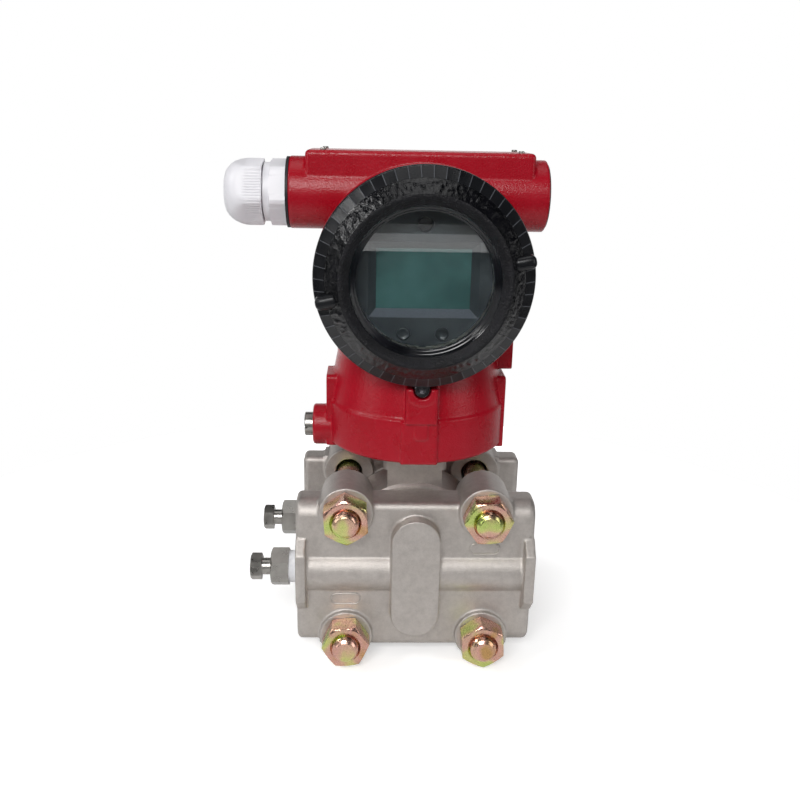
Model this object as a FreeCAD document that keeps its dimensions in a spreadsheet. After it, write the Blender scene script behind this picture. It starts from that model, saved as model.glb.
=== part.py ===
"""Differential pressure transmitter, a parametric FreeCAD document.

Frame of the finished part: X to the right, Y away from the reader of the display, Z up.
The origin lies on the surface that the part stands on, under the middle of its outline.

Every solid is first placed from the working centre: the middle of the bolt pattern, halfway
between the two process flanges.  The front side is -Y.  One placement, bound to the sheet,
then carries each finished piece from there into the frame of the part.
"""
import FreeCAD, Part
import math
import os
import re

import Sketcher
from FreeCAD import Placement, Rotation, Vector

doc = FreeCAD.newDocument("Transmitter")
sheet = doc.addObject("Spreadsheet::Sheet", "Sizes")

# --------------------------------------------------------------------------- driving sizes
SIZES = [
    # process flanges, bolted face to face over the measuring capsule
    ("flange_width", 108.8), ("flange_top", 35.0), ("flange_drop", 37.0), ("web_drop", 37.7),
    ("flange_inner", 17.4), ("flange_outer", 34.4),
    ("web_width", 88.0), ("web_round", 3.5), ("end_round", 8.0), ("end_corner", 2.5),
    ("bolt_pitch_x", 63.0), ("bolt_pitch_z", 62.0), ("boss_radius", 12.2), ("boss_outer", 36.8),
    ("rib_radius", 11.2), ("pad_width", 22.0), ("pad_height", 58.0), ("pad_reach", 40.6),
    ("cheek_width", 4.7), ("cheek_flat", 11.5), ("cheek_foot", 18.0),
    ("land_radius", 34.0), ("chamber_radius", 24.0), ("chamber_depth", 1.6),
    ("gasket_inner", 27.0), ("gasket_outer", 31.0), ("gasket_depth", 1.6),
    ("port_pitch", 54.0), ("port_radius", 5.6), ("port_depth", 16.0), ("duct_radius", 2.0),
    ("side_hole_pitch", 41.3), ("side_hole_radius", 4.25), ("side_hole_depth", 14.0),
    # bolts and nuts
    ("bolt_radius", 6.0), ("shank_radius", 5.4), ("bolt_hole_radius", 6.6), ("bolt_front", 49.5),
    ("thread_length", 32.0), ("nut_flats", 19.0), ("nut_height", 10.0), ("head_height", 7.5),
    ("nut_turn_a", -4.0), ("nut_turn_b", 26.0), ("nut_turn_c", 25.0), ("nut_turn_d", -4.0),
    # vent plugs and bleed screws in the left ends of the flanges
    ("plug_flats", 16.0), ("plug_inner", 3.6), ("plug_hex", 8.2), ("plug_stem", 11.0),
    ("bleed_flats", 11.0), ("bleed_head", 5.1), ("bleed_gap", 4.4), ("bleed_radius", 3.9),
    ("bleed_depth", 9.0), ("tape_radius", 7.4), ("vent_radius", 1.2),
    # measuring capsule and its neck
    ("capsule_radius", 36.0), ("capsule_half", 13.4), ("capsule_edge", 1.0),
    ("diaphragm_radius", 23.0), ("diaphragm_seat", 0.8), ("diaphragm_sheet", 0.4),
    ("stem_width", 25.5), ("stem_depth", 24.0), ("collar_base", 43.4), ("collar_width", 29.5),
    ("collar_round", 3.0), ("shoulder_base", 50.0), ("shoulder_radius", 20.0),
    ("neck_radius", 15.0), ("neck_top", 67.0), ("neck_bore", 6.0), ("neck_seal_base", 60.0),
    ("neck_seal_width", 2.0), ("neck_seal_depth", 1.6), ("connector_radius", 9.0),
    ("connector_height", 4.0),
    # housing casting
    ("axis_height", 138.0), ("barrel_radius", 43.0), ("barrel_half", 38.0), ("lip_radius", 45.0),
    ("lip_length", 5.0), ("chamber_bore", 38.5), ("bulkhead_front", 14.0), ("bulkhead", 3.0),
    ("conduit_radius", 15.5), ("conduit_height", 168.0), ("conduit_left", 57.0),
    ("conduit_right", 54.6), ("conduit_wall", 36.0),
    ("conduit_bore", 10.0), ("conduit_edge", 1.0), ("block_left", 49.7), ("block_right", 48.2),
    ("block_depth", 27.0), ("block_top", 186.5), ("waist_radius", 36.5), ("waist_bore", 30.0),
    ("flare_radius", 40.4), ("flare_top", 97.0), ("ring_radius", 41.5),
    ("ring_flat", 38.5), ("ring_bottom", 56.8), ("ring_top", 77.0), ("floor", 9.2),
    ("cable_hole", 10.0), ("front_pad_width", 16.2), ("front_pad_reach", 42.3),
    ("front_pad_top", 75.8), ("lock_width", 13.6), ("lock_forward", 6.0), ("lock_drop", 47.3),
    ("lock_shift", 0.6), ("lock_boss", 6.6), ("lock_boss_proud", 0.3), ("lock_block_drop", 46.7),
    ("tab_width", 5.6), ("tab_bottom", 68.2), ("tab_forward", 5.0),
    ("pad_left", 41.2), ("pad_right", 40.5), ("side_pad_round", 2.0),
    ("side_pad_bottom", 55.0), ("side_pad_top", 88.5), ("side_pad_width", 19.0),
    ("side_pad_middle", -4.0), ("earth_reach", 43.9), ("earth_bottom", 90.5),
    ("earth_top", 106.0), ("earth_width", 14.0),
    # covers
    ("cover_gap", 0.3), ("skirt_length", 10.0), ("skirt_wall", 3.2), ("relief_radius", 42.6),
    ("rim_radius", 44.9), ("rim_gap", 6.4), ("rim_length", 2.2), ("grip_outer", 44.5),
    ("grip_inner", 40.2), ("grip_depth", 4.4), ("crest_radius", 34.2), ("crest_depth", 10.9),
    ("crest_flat", 1.2), ("window_radius", 27.5), ("bowl_depth", 5.0), ("lip_wall", 1.6),
    ("grip_count", 54), ("bar_length", 9.6), ("bar_width", 5.6), ("bar_reach", 9.2),
    ("bar_inner", 34.8), ("bar_turn", 12.0), ("rear_crest_depth", 8.4), ("cap_wall", 3.0),
    ("glass_radius", 31.0), ("glass_thick", 6.0), ("retainer_length", 3.0), ("retainer_bore", 28.0),
    ("window_gasket", 0.6), ("seal_radius", 40.5), ("seal_width", 2.0), ("seal_height", 1.6),
    # display module behind the window
    ("module_radius", 33.4), ("module_forward", 2.6), ("module_thick", 7.5), ("screen_width", 38.8),
    ("screen_height", 24.6), ("screen_middle", -0.8), ("bevel", 3.2), ("screen_thick", 1.5),
    ("key_radius", 2.9), ("key_spread", 16.0), ("key_drop", 23.0), ("key_height", 3.0),
    ("key_proud", 0.5), ("key_travel", 0.4), ("screw_rise", 21.6), ("screw_pocket", 3.2),
    ("screw_head", 2.7), ("screw_head_height", 2.6), ("screw_shank", 1.5),
    ("board_thick", 1.6), ("main_board_radius", 32.0), ("main_board_gap", 7.1),
    ("post_radius", 2.6), ("post_circle", 28.0),
    # terminals in the rear compartment
    ("terminal_width", 50.0), ("terminal_height", 24.0), ("terminal_depth", 15.0),
    ("terminal_pitch", 14.0), ("terminal_screw_radius", 4.0), ("terminal_screw_height", 2.4),
    # cable gland, blanking plug and small screws
    ("gland_gasket_radius", 15.2), ("gland_gasket", 1.2), ("gland_flats", 27.6),
    ("gland_hex", 5.8), ("gland_collar", 1.9), ("gland_collar_radius", 13.6), ("gland_sleeve", 12.0),
    ("gland_sleeve_radius", 10.8), ("gland_bore", 8.2), ("gland_nut_length", 17.8),
    ("gland_nut_gap", 1.3), ("gland_nut_flats", 28.0), ("gland_nut_round", 8.2),
    ("gland_nut_hole", 7.2), ("gland_spigot", 12.0), ("seal_bore", 5.0), ("seal_length", 11.0),
    ("blank_flange", 0.5), ("blank_radius", 14.0), ("blank_spigot", 11.0),
    ("zero_middle", 62.7), ("zero_boss_radius", 9.5), ("zero_boss_reach", 47.6),
    ("zero_radius", 5.5), ("zero_reach", 51.6), ("zero_depth", 8.0), ("slot_width", 1.2),
    ("slot_depth", 1.4), ("lock_head_radius", 3.4),
    ("lock_inset", 0.6), ("lock_head_length", 4.0), ("lock_pocket", 3.8),
    ("lock_shank_radius", 2.0), ("lock_shank", 7.0), ("lock_socket", 3.0),
    ("grub_radius", 2.5), ("grub_height", 61.4), ("grub_proud", 0.9),
    ("earth_screw_radius", 3.3), ("earth_screw_head", 2.6), ("earth_washer_radius", 3.8),
    ("earth_washer", 0.8), ("rivet_radius", 1.3), ("rivet_height", 0.9), ("rivet_span_x", 84.0),
    ("rivet_span_y", 20.0),
    # wires through the bulkhead, then clearances
    ("feed_radius", 5.0), ("feed_drop", 24.0), ("running", 0.06), ("slack", 0.1), ("air", 0.3),
]

# reaches from the neck's axis that follow the ends of the barrel
REACHES = {
    "lock_reach": "barrel_half + lock_forward", "lock_head_front": "lock_reach - lock_inset",
    "tab_reach": "barrel_half + tab_forward", "module_front": "barrel_half + module_forward",
    "rim_back": "barrel_half + rim_gap", "rim_front": "rim_back + rim_length",
    "main_board_front": "module_front - module_thick - main_board_gap",
}

VALUE = {}
for number, (word, size) in enumerate(SIZES, start=1):
    sheet.set("A%d" % number, str(size))
    sheet.setAlias("A%d" % number, word)
    VALUE[word] = size
doc.recompute()

WORD = re.compile(r"[a-z][a-z_0-9]*(?![a-z_0-9(])")


def bound(formula):
    """Write a formula over the sheet's words and the reaches as a FreeCAD expression."""
    def spelt(match):
        word = match.group(0)
        if word in REACHES:
            return "(%s)" % bound(REACHES[word])
        return "Sizes." + word if word in VALUE else word

    return WORD.sub(spelt, str(formula))


def number(formula):
    """Work out a formula over the sheet's words, for what no expression can hold."""
    probe = doc.getObject("Probe") or doc.addObject("App::FeaturePython", "Probe")
    if not hasattr(probe, "Reading"):
        probe.addProperty("App::PropertyFloat", "Reading")
    probe.setExpression("Reading", bound(formula))
    probe.recompute()
    return probe.Reading


# working centre to the frame of the part
LEFT_REACH = "conduit_left + gland_gasket + gland_hex + gland_collar + gland_nut_gap + gland_nut_length"
RIGHT_REACH = "conduit_right + blank_flange"
FRONT_REACH = "rim_front + crest_depth"
REAR_REACH = "rim_front + bar_reach"
SHIFT = (
    "(%s - (%s)) / 2" % (LEFT_REACH, RIGHT_REACH),
    "(%s - (%s)) / 2" % (FRONT_REACH, REAR_REACH),
    "bolt_pitch_z / 2 + boss_radius",
)
LOCK_HEIGHT = "axis_height - lock_drop"
EARTH_HEIGHT = "(earth_bottom + earth_top) / 2"
EARTH_ROW = "earth_reach - earth_washer_radius - slack"

# ------------------------------------------------------------------------------- helpers
TURN = {
    "Z": Rotation(),
    "Y": Rotation(Vector(1, 0, 0), -90),
    "-Y": Rotation(Vector(1, 0, 0), 90),
    "X": Rotation(Vector(0, 1, 0), 90),
    "-X": Rotation(Vector(0, 1, 0), -90),
    "-Z": Rotation(Vector(1, 0, 0), 180),
}
pieces = []


def place(thing, at, turn=Rotation()):
    """Put an object at a point given as three formulas, turned by a fixed rotation."""
    thing.Placement = Placement(Vector(0, 0, 0), turn)
    for axis, formula in zip("xyz", at):
        thing.setExpression("Placement.Base." + axis, bound(formula))


def cylinder(radius, height, at=(0, 0, 0), axis="Z"):
    """A cylinder that starts at a point and runs along an axis."""
    made = doc.addObject("Part::Cylinder", "Cylinder")
    made.setExpression("Radius", bound(radius))
    made.setExpression("Height", bound(height))
    place(made, at, TURN[axis])
    return made


def cone(radius, radius_end, height, at=(0, 0, 0), axis="Z"):
    """A cone that starts at a point and runs along an axis."""
    made = doc.addObject("Part::Cone", "Cone")
    made.setExpression("Radius1", bound(radius))
    made.setExpression("Radius2", bound(radius_end))
    made.setExpression("Height", bound(height))
    place(made, at, TURN[axis])
    return made


def block(size, corner):
    """A box from its least corner."""
    made = doc.addObject("Part::Box", "Block")
    for side, formula in zip(("Length", "Width", "Height"), size):
        made.setExpression(side, bound(formula))
    place(made, corner)
    return made


def hexagon(flats, height, at=(0, 0, 0), axis="Z", turn=0.0):
    """A hexagonal prism given by its width across flats."""
    made = doc.addObject("Part::Prism", "Hexagon")
    made.Polygon = 6
    made.setExpression("Circumradius", bound("(%s) / sqrt(3)" % flats))
    made.setExpression("Height", bound(height))
    place(made, at, TURN[axis].multiply(Rotation(Vector(0, 0, 1), turn)))
    return made


def fuse(*parts):
    """One solid from several that meet."""
    made = doc.addObject("Part::MultiFuse", "Join")
    made.Shapes = list(parts)
    made.Refine = True
    return made


def cut(base, *tools):
    """A solid less its cutters."""
    made = doc.addObject("Part::Cut", "Less")
    made.Base = base
    made.Tool = tools[0] if len(tools) == 1 else fuse(*tools)
    made.Refine = True
    return made


def common(*parts):
    """What several solids share."""
    made = doc.addObject("Part::MultiCommon", "Share")
    made.Shapes = list(parts)
    made.Refine = True
    return made


def tube(radius, bore, height, at=(0, 0, 0), axis="Z"):
    """A plain ring or sleeve."""
    return cut(cylinder(radius, height, at, axis), cylinder(bore, height, at, axis))


def edges_where(thing, test):
    """The indices of a shape's edges that pass a test."""
    doc.recompute()
    return [i for i, edge in enumerate(thing.Shape.Edges, start=1) if test(edge)]


def rounded(thing, radius, test, kind="Part::Fillet"):
    """Fillet or chamfer the edges that pass a test, with a size worked out from the sheet."""
    size = number(radius)
    found = edges_where(thing, test)
    made = doc.addObject(kind, "Edged")
    made.Base = thing
    made.Edges = [(i, size, size) for i in found]
    return made


def chamfered(thing, size, test):
    """Chamfer the edges that pass a test."""
    return rounded(thing, size, test, "Part::Chamfer")


def curve_of(edge):
    """The curve of an edge, or nothing where the kernel has no name for its kind."""
    try:
        return edge.Curve
    except TypeError:
        return None


def is_circle(edge, radius, **near):
    """Whether an edge is a whole circle of a radius, with its centre at given coordinates."""
    curve = curve_of(edge)
    if not isinstance(curve, Part.Circle) or abs(curve.Radius - radius) > 1e-4 or not edge.isClosed():
        return False
    centre = curve.Center
    return all(abs(getattr(centre, axis) - value) < 1e-4 for axis, value in near.items())


def finish(thing, label):
    """Name a finished piece and bind its placement to the frame of the part."""
    if thing.ExpressionEngine:
        held = doc.addObject("Part::Compound", "Held")
        held.Links = [thing]
        thing = held
    thing.Label = label
    for axis, formula in zip("xyz", SHIFT):
        thing.setExpression("Placement.Base." + axis, bound(formula))
    pieces.append(thing)
    return thing


def group(parts, label):
    """Several equal fasteners as one node of separate solids."""
    made = doc.addObject("Part::Compound", "Group")
    made.Links = list(parts)
    return finish(made, label)


# ---------------------------------------------------------------- sketches in a design body
def new_body(label):
    """An empty design body that carries the label of its piece."""
    made = doc.addObject("PartDesign::Body", "Body")
    return finish(made, label)


def new_sketch(body, role, offset="0"):
    """A sketch on one of the body's own planes, moved along the plane's normal."""
    made = body.newObject("Sketcher::SketchObject", "Outline")
    plane = next(f for f in body.Origin.OriginFeatures if f.Role == role)
    made.AttachmentSupport = [(plane, "")]
    made.MapMode = "FlatFace"
    made.setExpression("AttachmentOffset.Base.z", bound(offset))
    return made


def pin(sketch, geometry, end, across, along):
    """Fix one end of a sketch element by two distances from the sketch's centre."""
    for kind, formula in (("DistanceX", across), ("DistanceY", along)):
        if str(formula) == "0":
            other = -2 if kind == "DistanceX" else -1
            sketch.addConstraint(Sketcher.Constraint("PointOnObject", geometry, end, other))
            continue
        value = number(formula)
        row = sketch.addConstraint(Sketcher.Constraint(kind, -1, 1, geometry, end, value))
        sketch.setExpression("Constraints[%d]" % row, bound(formula))


def outline(sketch, points):
    """A closed outline of straight lines through points given as pairs of formulas."""
    spots = [Vector(number(a), number(b), 0) for a, b in points]
    first = sketch.GeometryCount
    count = len(points)
    for i in range(count):
        sketch.addGeometry(Part.LineSegment(spots[i], spots[(i + 1) % count]))
    for i in range(count):
        follower = first + (i + 1) % count
        sketch.addConstraint(Sketcher.Constraint("Coincident", first + i, 2, follower, 1))
    for i, (a, b) in enumerate(points):
        pin(sketch, first + i, 1, a, b)


def disc(sketch, across, along, radius):
    """A circle in a sketch."""
    middle = Vector(number(across), number(along), 0)
    made = sketch.addGeometry(Part.Circle(middle, Vector(0, 0, 1), number(radius)))
    pin(sketch, made, 3, across, along)
    row = sketch.addConstraint(Sketcher.Constraint("Radius", made, number(radius)))
    sketch.setExpression("Constraints[%d]" % row, bound(radius))


def pad(body, sketch, length, both=False, back=False):
    """Raise a sketch into solid."""
    made = body.newObject("PartDesign::Pad", "Pad")
    made.Profile = sketch
    made.setExpression("Length", bound(length))
    made.Midplane = both
    made.Reversed = back
    made.Refine = False
    return made


def pocket(body, sketch, length, both=False, back=False):
    """Sink a sketch into solid."""
    made = body.newObject("PartDesign::Pocket", "Pocket")
    made.Profile = sketch
    made.setExpression("Length", bound(length))
    made.Midplane = both
    made.Reversed = back
    made.Refine = False
    return made


def revolve(body, sketch):
    """Turn a sketch round its own vertical axis."""
    made = body.newObject("PartDesign::Revolution", "Turned")
    made.Profile = sketch
    made.ReferenceAxis = (sketch, ["V_Axis"])
    made.Angle = 360
    made.Refine = False
    return made


def rectangle(sketch, left, low, right, high):
    """An upright rectangle between two corners."""
    outline(sketch, [(left, low), (right, low), (right, high), (left, high)])


def obround(sketch, width, height):
    """An upright slot shape about the sketch's centre."""
    radius = number("%s / 2" % width)
    rise = number("(%s - %s) / 2" % (height, width))
    high, low = Vector(0, rise, 0), Vector(0, -rise, 0)
    top = sketch.addGeometry(Part.ArcOfCircle(Part.Circle(high, Vector(0, 0, 1), radius), 0, math.pi))
    left = sketch.addGeometry(Part.LineSegment(Vector(-radius, rise, 0), Vector(-radius, -rise, 0)))
    arc = Part.ArcOfCircle(Part.Circle(low, Vector(0, 0, 1), radius), math.pi, 2 * math.pi)
    bottom = sketch.addGeometry(arc)
    right = sketch.addGeometry(Part.LineSegment(Vector(radius, -rise, 0), Vector(radius, rise, 0)))
    for a, b in ((top, left), (left, bottom), (bottom, right), (right, top)):
        sketch.addConstraint(Sketcher.Constraint("Tangent", a, 2, b, 1))
    sketch.addConstraint(Sketcher.Constraint("Vertical", left))
    sketch.addConstraint(Sketcher.Constraint("PointOnObject", top, 3, -2))
    sketch.addConstraint(Sketcher.Constraint("PointOnObject", bottom, 3, -2))
    row = sketch.addConstraint(Sketcher.Constraint("Radius", top, radius))
    sketch.setExpression("Constraints[%d]" % row, bound("%s / 2" % width))
    row = sketch.addConstraint(Sketcher.Constraint("DistanceY", -1, 1, top, 3, rise))
    sketch.setExpression("Constraints[%d]" % row, bound("(%s - %s) / 2" % (height, width)))
    row = sketch.addConstraint(Sketcher.Constraint("DistanceY", bottom, 3, -1, 1, rise))
    sketch.setExpression("Constraints[%d]" % row, bound("(%s - %s) / 2" % (height, width)))


def runs_along(edge, axis, **near):
    """Whether a straight edge runs along an axis, with its middle at given coordinates."""
    if not isinstance(curve_of(edge), Part.Line):
        return False
    start, end = edge.Vertexes[0].Point, edge.Vertexes[-1].Point
    if any(abs(getattr(end - start, other)) > 1e-5 for other in "xyz" if other != axis):
        return False
    middle = (start + end) / 2
    return all(abs(getattr(middle, name) - value) < 1e-4 for name, value in near.items())


def soften(body, size, test, kind="PartDesign::Fillet"):
    """Fillet or chamfer the edges of a body's last feature that pass a test."""
    doc.recompute()
    base = body.Tip
    names = ["Edge%d" % i for i, edge in enumerate(base.Shape.Edges, start=1) if test(edge)]
    made = body.newObject(kind, "Softened")
    made.Base = (base, names)
    made.setExpression("Radius" if kind.endswith("Fillet") else "Size", bound(size))
    return made


# ---------------------------------------------------------------------- process flanges
def bolt_spots():
    """The four bolt centres as pairs of formulas: left then right, top then bottom."""
    return [(x + "bolt_pitch_x / 2", z + "bolt_pitch_z / 2") for z in ("", "-") for x in ("-", "")]


def flange(label, turned):
    """One cast process flange; the rear one is the same casting turned over about its length."""
    body = new_body(label)
    if turned:
        body.Placement = Placement(Vector(0, 0, 0), Rotation(Vector(1, 0, 0), 180))
    outer, half = number("flange_outer"), number("flange_width / 2")

    def on_end(edge):
        return all(abs(abs(v.Point.x) - half) < 1e-4 for v in edge.Vertexes)

    slab = new_sketch(body, "YZ_Plane")
    rectangle(slab, "-flange_outer", "-flange_drop", "-flange_inner", "flange_top")
    pad(body, slab, "flange_width", both=True)
    soften(body, "end_round", lambda e: runs_along(e, "x", y=-outer))
    soften(body, "end_corner", on_end)
    web = new_sketch(body, "YZ_Plane")
    rectangle(web, "-flange_outer", "-web_drop", "-flange_inner - 1", "flange_top")
    pad(body, web, "web_width", both=True)
    soften(body, "web_round", lambda e: runs_along(e, "x", x=0, y=-outer))

    rib = new_sketch(body, "YZ_Plane")
    disc(rib, "-port_pitch / 2", "0", "rib_radius")
    pad(body, rib, "flange_width - cheek_width", both=True)
    for start in ("flange_width / 2 - cheek_width", "-flange_width / 2"):
        cheek = new_sketch(body, "YZ_Plane", start)
        outline(cheek, [
            ("-flange_inner", "-cheek_foot"), ("-flange_outer", "-cheek_foot"),
            ("-pad_reach", "-cheek_flat"), ("-pad_reach", "cheek_flat"),
            ("-flange_outer", "cheek_foot"), ("-flange_inner", "cheek_foot"),
        ])
        pad(body, cheek, "cheek_width")
    bosses = new_sketch(body, "XZ_Plane", "capsule_half")
    for x, z in bolt_spots():
        disc(bosses, x, z, "boss_radius")
    pad(body, bosses, "boss_outer - capsule_half")
    land = new_sketch(body, "XZ_Plane", "capsule_half")
    disc(land, "0", "0", "land_radius")
    pad(body, land, "flange_inner - capsule_half + 1")
    centre = new_sketch(body, "XZ_Plane", "flange_outer - 1")
    obround(centre, "pad_width", "pad_height")
    pad(body, centre, "pad_reach - flange_outer + 1")

    holes = new_sketch(body, "XZ_Plane", "capsule_half")
    for x, z in bolt_spots():
        disc(holes, x, z, "bolt_hole_radius")
    pocket(body, holes, "boss_outer - capsule_half", back=True)
    chamber = new_sketch(body, "XZ_Plane", "capsule_half")
    disc(chamber, "0", "0", "chamber_radius")
    pocket(body, chamber, "chamber_depth", back=True)
    groove = new_sketch(body, "XZ_Plane", "capsule_half")
    disc(groove, "0", "0", "gasket_inner")
    disc(groove, "0", "0", "gasket_outer")
    pocket(body, groove, "gasket_depth", back=True)
    for start, back in (("flange_width / 2", False), ("-flange_width / 2", True)):
        port = new_sketch(body, "YZ_Plane", start)
        disc(port, "-port_pitch / 2", "0", "port_radius")
        pocket(body, port, "port_depth", back=back)
        threads = new_sketch(body, "YZ_Plane", start)
        disc(threads, "-port_pitch / 2", "side_hole_pitch / 2", "side_hole_radius")
        disc(threads, "-port_pitch / 2", "-side_hole_pitch / 2", "side_hole_radius")
        pocket(body, threads, "side_hole_depth", back=back)
    duct = new_sketch(body, "YZ_Plane")
    disc(duct, "-port_pitch / 2", "0", "duct_radius")
    pocket(body, duct, "flange_width - port_depth", both=True)
    feed = new_sketch(body, "XZ_Plane", "capsule_half")
    disc(feed, "0", "0", "duct_radius")
    pocket(body, feed, "port_pitch / 2 - capsule_half", back=True)
    return body


def gasket(label, side):
    """The flat gasket between a flange and the capsule."""
    at = (0, "capsule_half", 0) if side == "Y" else (0, "-capsule_half", 0)
    ring = tube("gasket_outer", "gasket_inner", "gasket_depth", at, side)
    return finish(ring, label)


def hex_blank(flats, height, at, axis, turn, edge=0.9, ease=0.96):
    """A hexagon whose outer corners are turned down to a round face."""
    rough = hexagon(flats, height, at, axis, turn)
    reach = "(%s) / sqrt(3)" % flats
    body = cylinder(reach, "%s - %s" % (height, edge), at, axis)
    sign = "-" if axis.startswith("-") else "+"
    which = "XYZ".index(axis[-1])
    tip = list(at)
    tip[which] = "%s %s (%s - %s)" % (tip[which], sign, height, edge)
    nose = cone(reach, "(%s) / 2 * %s" % (flats, ease), edge, tuple(tip), axis)
    return common(rough, fuse(body, nose))


def flange_bolts():
    """Four hexagon bolts that clamp the flanges over the capsule, heads at the rear."""
    made = []
    front = number("-bolt_front")
    for x, z in bolt_spots():
        thread = cylinder("bolt_radius", "thread_length", (x, "-bolt_front", z), "Y")
        tipped = chamfered(thread, "bolt_radius * 0.15", lambda e: abs(e.BoundBox.YMax - front) < 1e-4)
        shank_start = "-bolt_front + thread_length"
        shank = cylinder("shank_radius", "boss_outer + bolt_front - thread_length + 1",
                         (x, shank_start, z), "Y")
        head = hex_blank("nut_flats", "head_height", (x, "boss_outer", z), "Y", 30)
        made.append(fuse(tipped, shank, head))
    return group(made, "flange_bolts")


def flange_nuts():
    """Four nuts on the front ends of the bolts, each stopped at its own angle."""
    made = []
    turns = ("nut_turn_a", "nut_turn_b", "nut_turn_c", "nut_turn_d")
    for (x, z), turn in zip(bolt_spots(), turns):
        angle = number(turn)
        blank = hex_blank("nut_flats", "nut_height", (x, "-boss_outer", z), "-Y", 30 + angle)
        hole = cylinder("bolt_radius + slack / 4", "nut_height + 2", (x, "-boss_outer + 1", z), "-Y")
        mouth = cone("bolt_radius", "bolt_radius + 1", "1", (x, "-boss_outer - nut_height + 0.7", z), "-Y")
        made.append(cut(blank, hole, mouth))
    return group(made, "flange_nuts")


def vent(side, row):
    """A vent plug with its bleed screw, in the left end of one flange."""
    end = "-flange_width / 2"
    plug_back = "%s - plug_inner" % end
    plug_face = "%s - plug_hex" % plug_back
    blank = hex_blank("plug_flats", "plug_hex", (plug_back, row, 0), "-X", 6)
    throat = cylinder("port_radius + 1", "plug_inner + 1", (plug_back + " - 1", row, 0), "X")
    stem = cylinder("port_radius - slack", "plug_stem + plug_inner + 1", (plug_back + " - 1", row, 0), "X")
    bore = cylinder("bleed_radius + running", "bleed_depth + 0.5", (plug_face, row, 0), "X")
    weep = cylinder("vent_radius", "plug_hex + plug_inner + plug_stem + 2", (plug_face, row, 0), "X")
    finish(cut(fuse(blank, throat, stem), bore, weep), side + "_vent_plug")

    head_face = "%s - bleed_gap" % plug_face
    head = hex_blank("bleed_flats", "bleed_head", (head_face, row, 0), "-X", 14, 0.6)
    screw = cylinder("bleed_radius", "bleed_gap + bleed_depth - 1.5", (head_face, row, 0), "X")
    point = cone("bleed_radius", "bleed_radius * 0.4", "1.5",
                 (plug_face + " + bleed_depth - 1.5", row, 0), "X")
    finish(fuse(head, screw, point), side + "_bleed_screw")


def thread_tape():
    """The wrap of sealing tape that shows between the front plug and its flange."""
    at = ("-flange_width / 2 - plug_inner", "-port_pitch / 2", 0)
    return finish(tube("tape_radius", "port_radius + 1 + slack / 4", "plug_inner", at, "X"), "thread_tape")


# --------------------------------------------------------------------- measuring capsule
def capsule():
    """The welded capsule: a thick disc between the flanges, with a stepped stem and neck."""
    half, radius = number("capsule_half"), number("capsule_radius")
    drum = cylinder("capsule_radius", "capsule_half * 2", (0, "-capsule_half", 0), "Y")
    drum = chamfered(drum, "capsule_edge", lambda e: is_circle(e, radius))
    stem = block(("stem_width", "stem_depth", "collar_base - capsule_radius * 0.7"),
                 ("-stem_width / 2", "-stem_depth / 2", "capsule_radius * 0.7"))
    collar = block(("collar_width", "collar_width", "shoulder_base - collar_base"),
                   ("-collar_width / 2", "-collar_width / 2", "collar_base"))
    collar = rounded(collar, "collar_round", lambda e: runs_along(e, "z"))
    shoulder = cylinder("shoulder_radius", "ring_bottom - air - shoulder_base", (0, 0, "shoulder_base"))
    neck = cylinder("neck_radius", "neck_top - shoulder_base", (0, 0, "shoulder_base"))
    solid = fuse(drum, stem, collar, shoulder, neck)
    seats = [cylinder("diaphragm_radius + air", "diaphragm_seat", (0, y, 0), axis)
             for y, axis in (("-capsule_half", "Y"), ("capsule_half", "-Y"))]
    bore = cylinder("neck_bore", "neck_top - shoulder_base + 1", (0, 0, "shoulder_base"))
    groove = tube("neck_radius + 1", "neck_radius - neck_seal_depth - air", "neck_seal_width + air",
                  (0, 0, "neck_seal_base"))
    return finish(cut(solid, bore, groove, *seats), "sensor_capsule")


def diaphragm(label, side):
    """A thin corrugated sheet that closes one face of the capsule."""
    sign = "-" if side == "front" else ""
    axis = "Y" if side == "front" else "-Y"
    inward = "+" if side == "front" else "-"
    at = (0, "%scapsule_half %s (diaphragm_seat - diaphragm_sheet)" % (sign, inward), 0)
    sheet_disc = cylinder("diaphragm_radius", "diaphragm_sheet", at, axis)
    top = (0, "%scapsule_half %s (diaphragm_seat - diaphragm_sheet * 2)" % (sign, inward), 0)
    ridges = [tube("diaphragm_radius * %s + 0.8" % share, "diaphragm_radius * %s - 0.8" % share,
                   "diaphragm_sheet * 1.5", top, axis) for share in ("0.35", "0.6", "0.85")]
    return finish(fuse(sheet_disc, *ridges), label)


def neck_parts():
    """The seal round the neck and the connector on its top."""
    ring = tube("neck_radius - air / 2", "neck_radius - neck_seal_depth", "neck_seal_width",
                (0, 0, "neck_seal_base + air / 2"))
    finish(ring, "neck_seal")
    finish(cylinder("connector_radius", "connector_height", (0, 0, "neck_top")), "sensor_connector")


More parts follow.
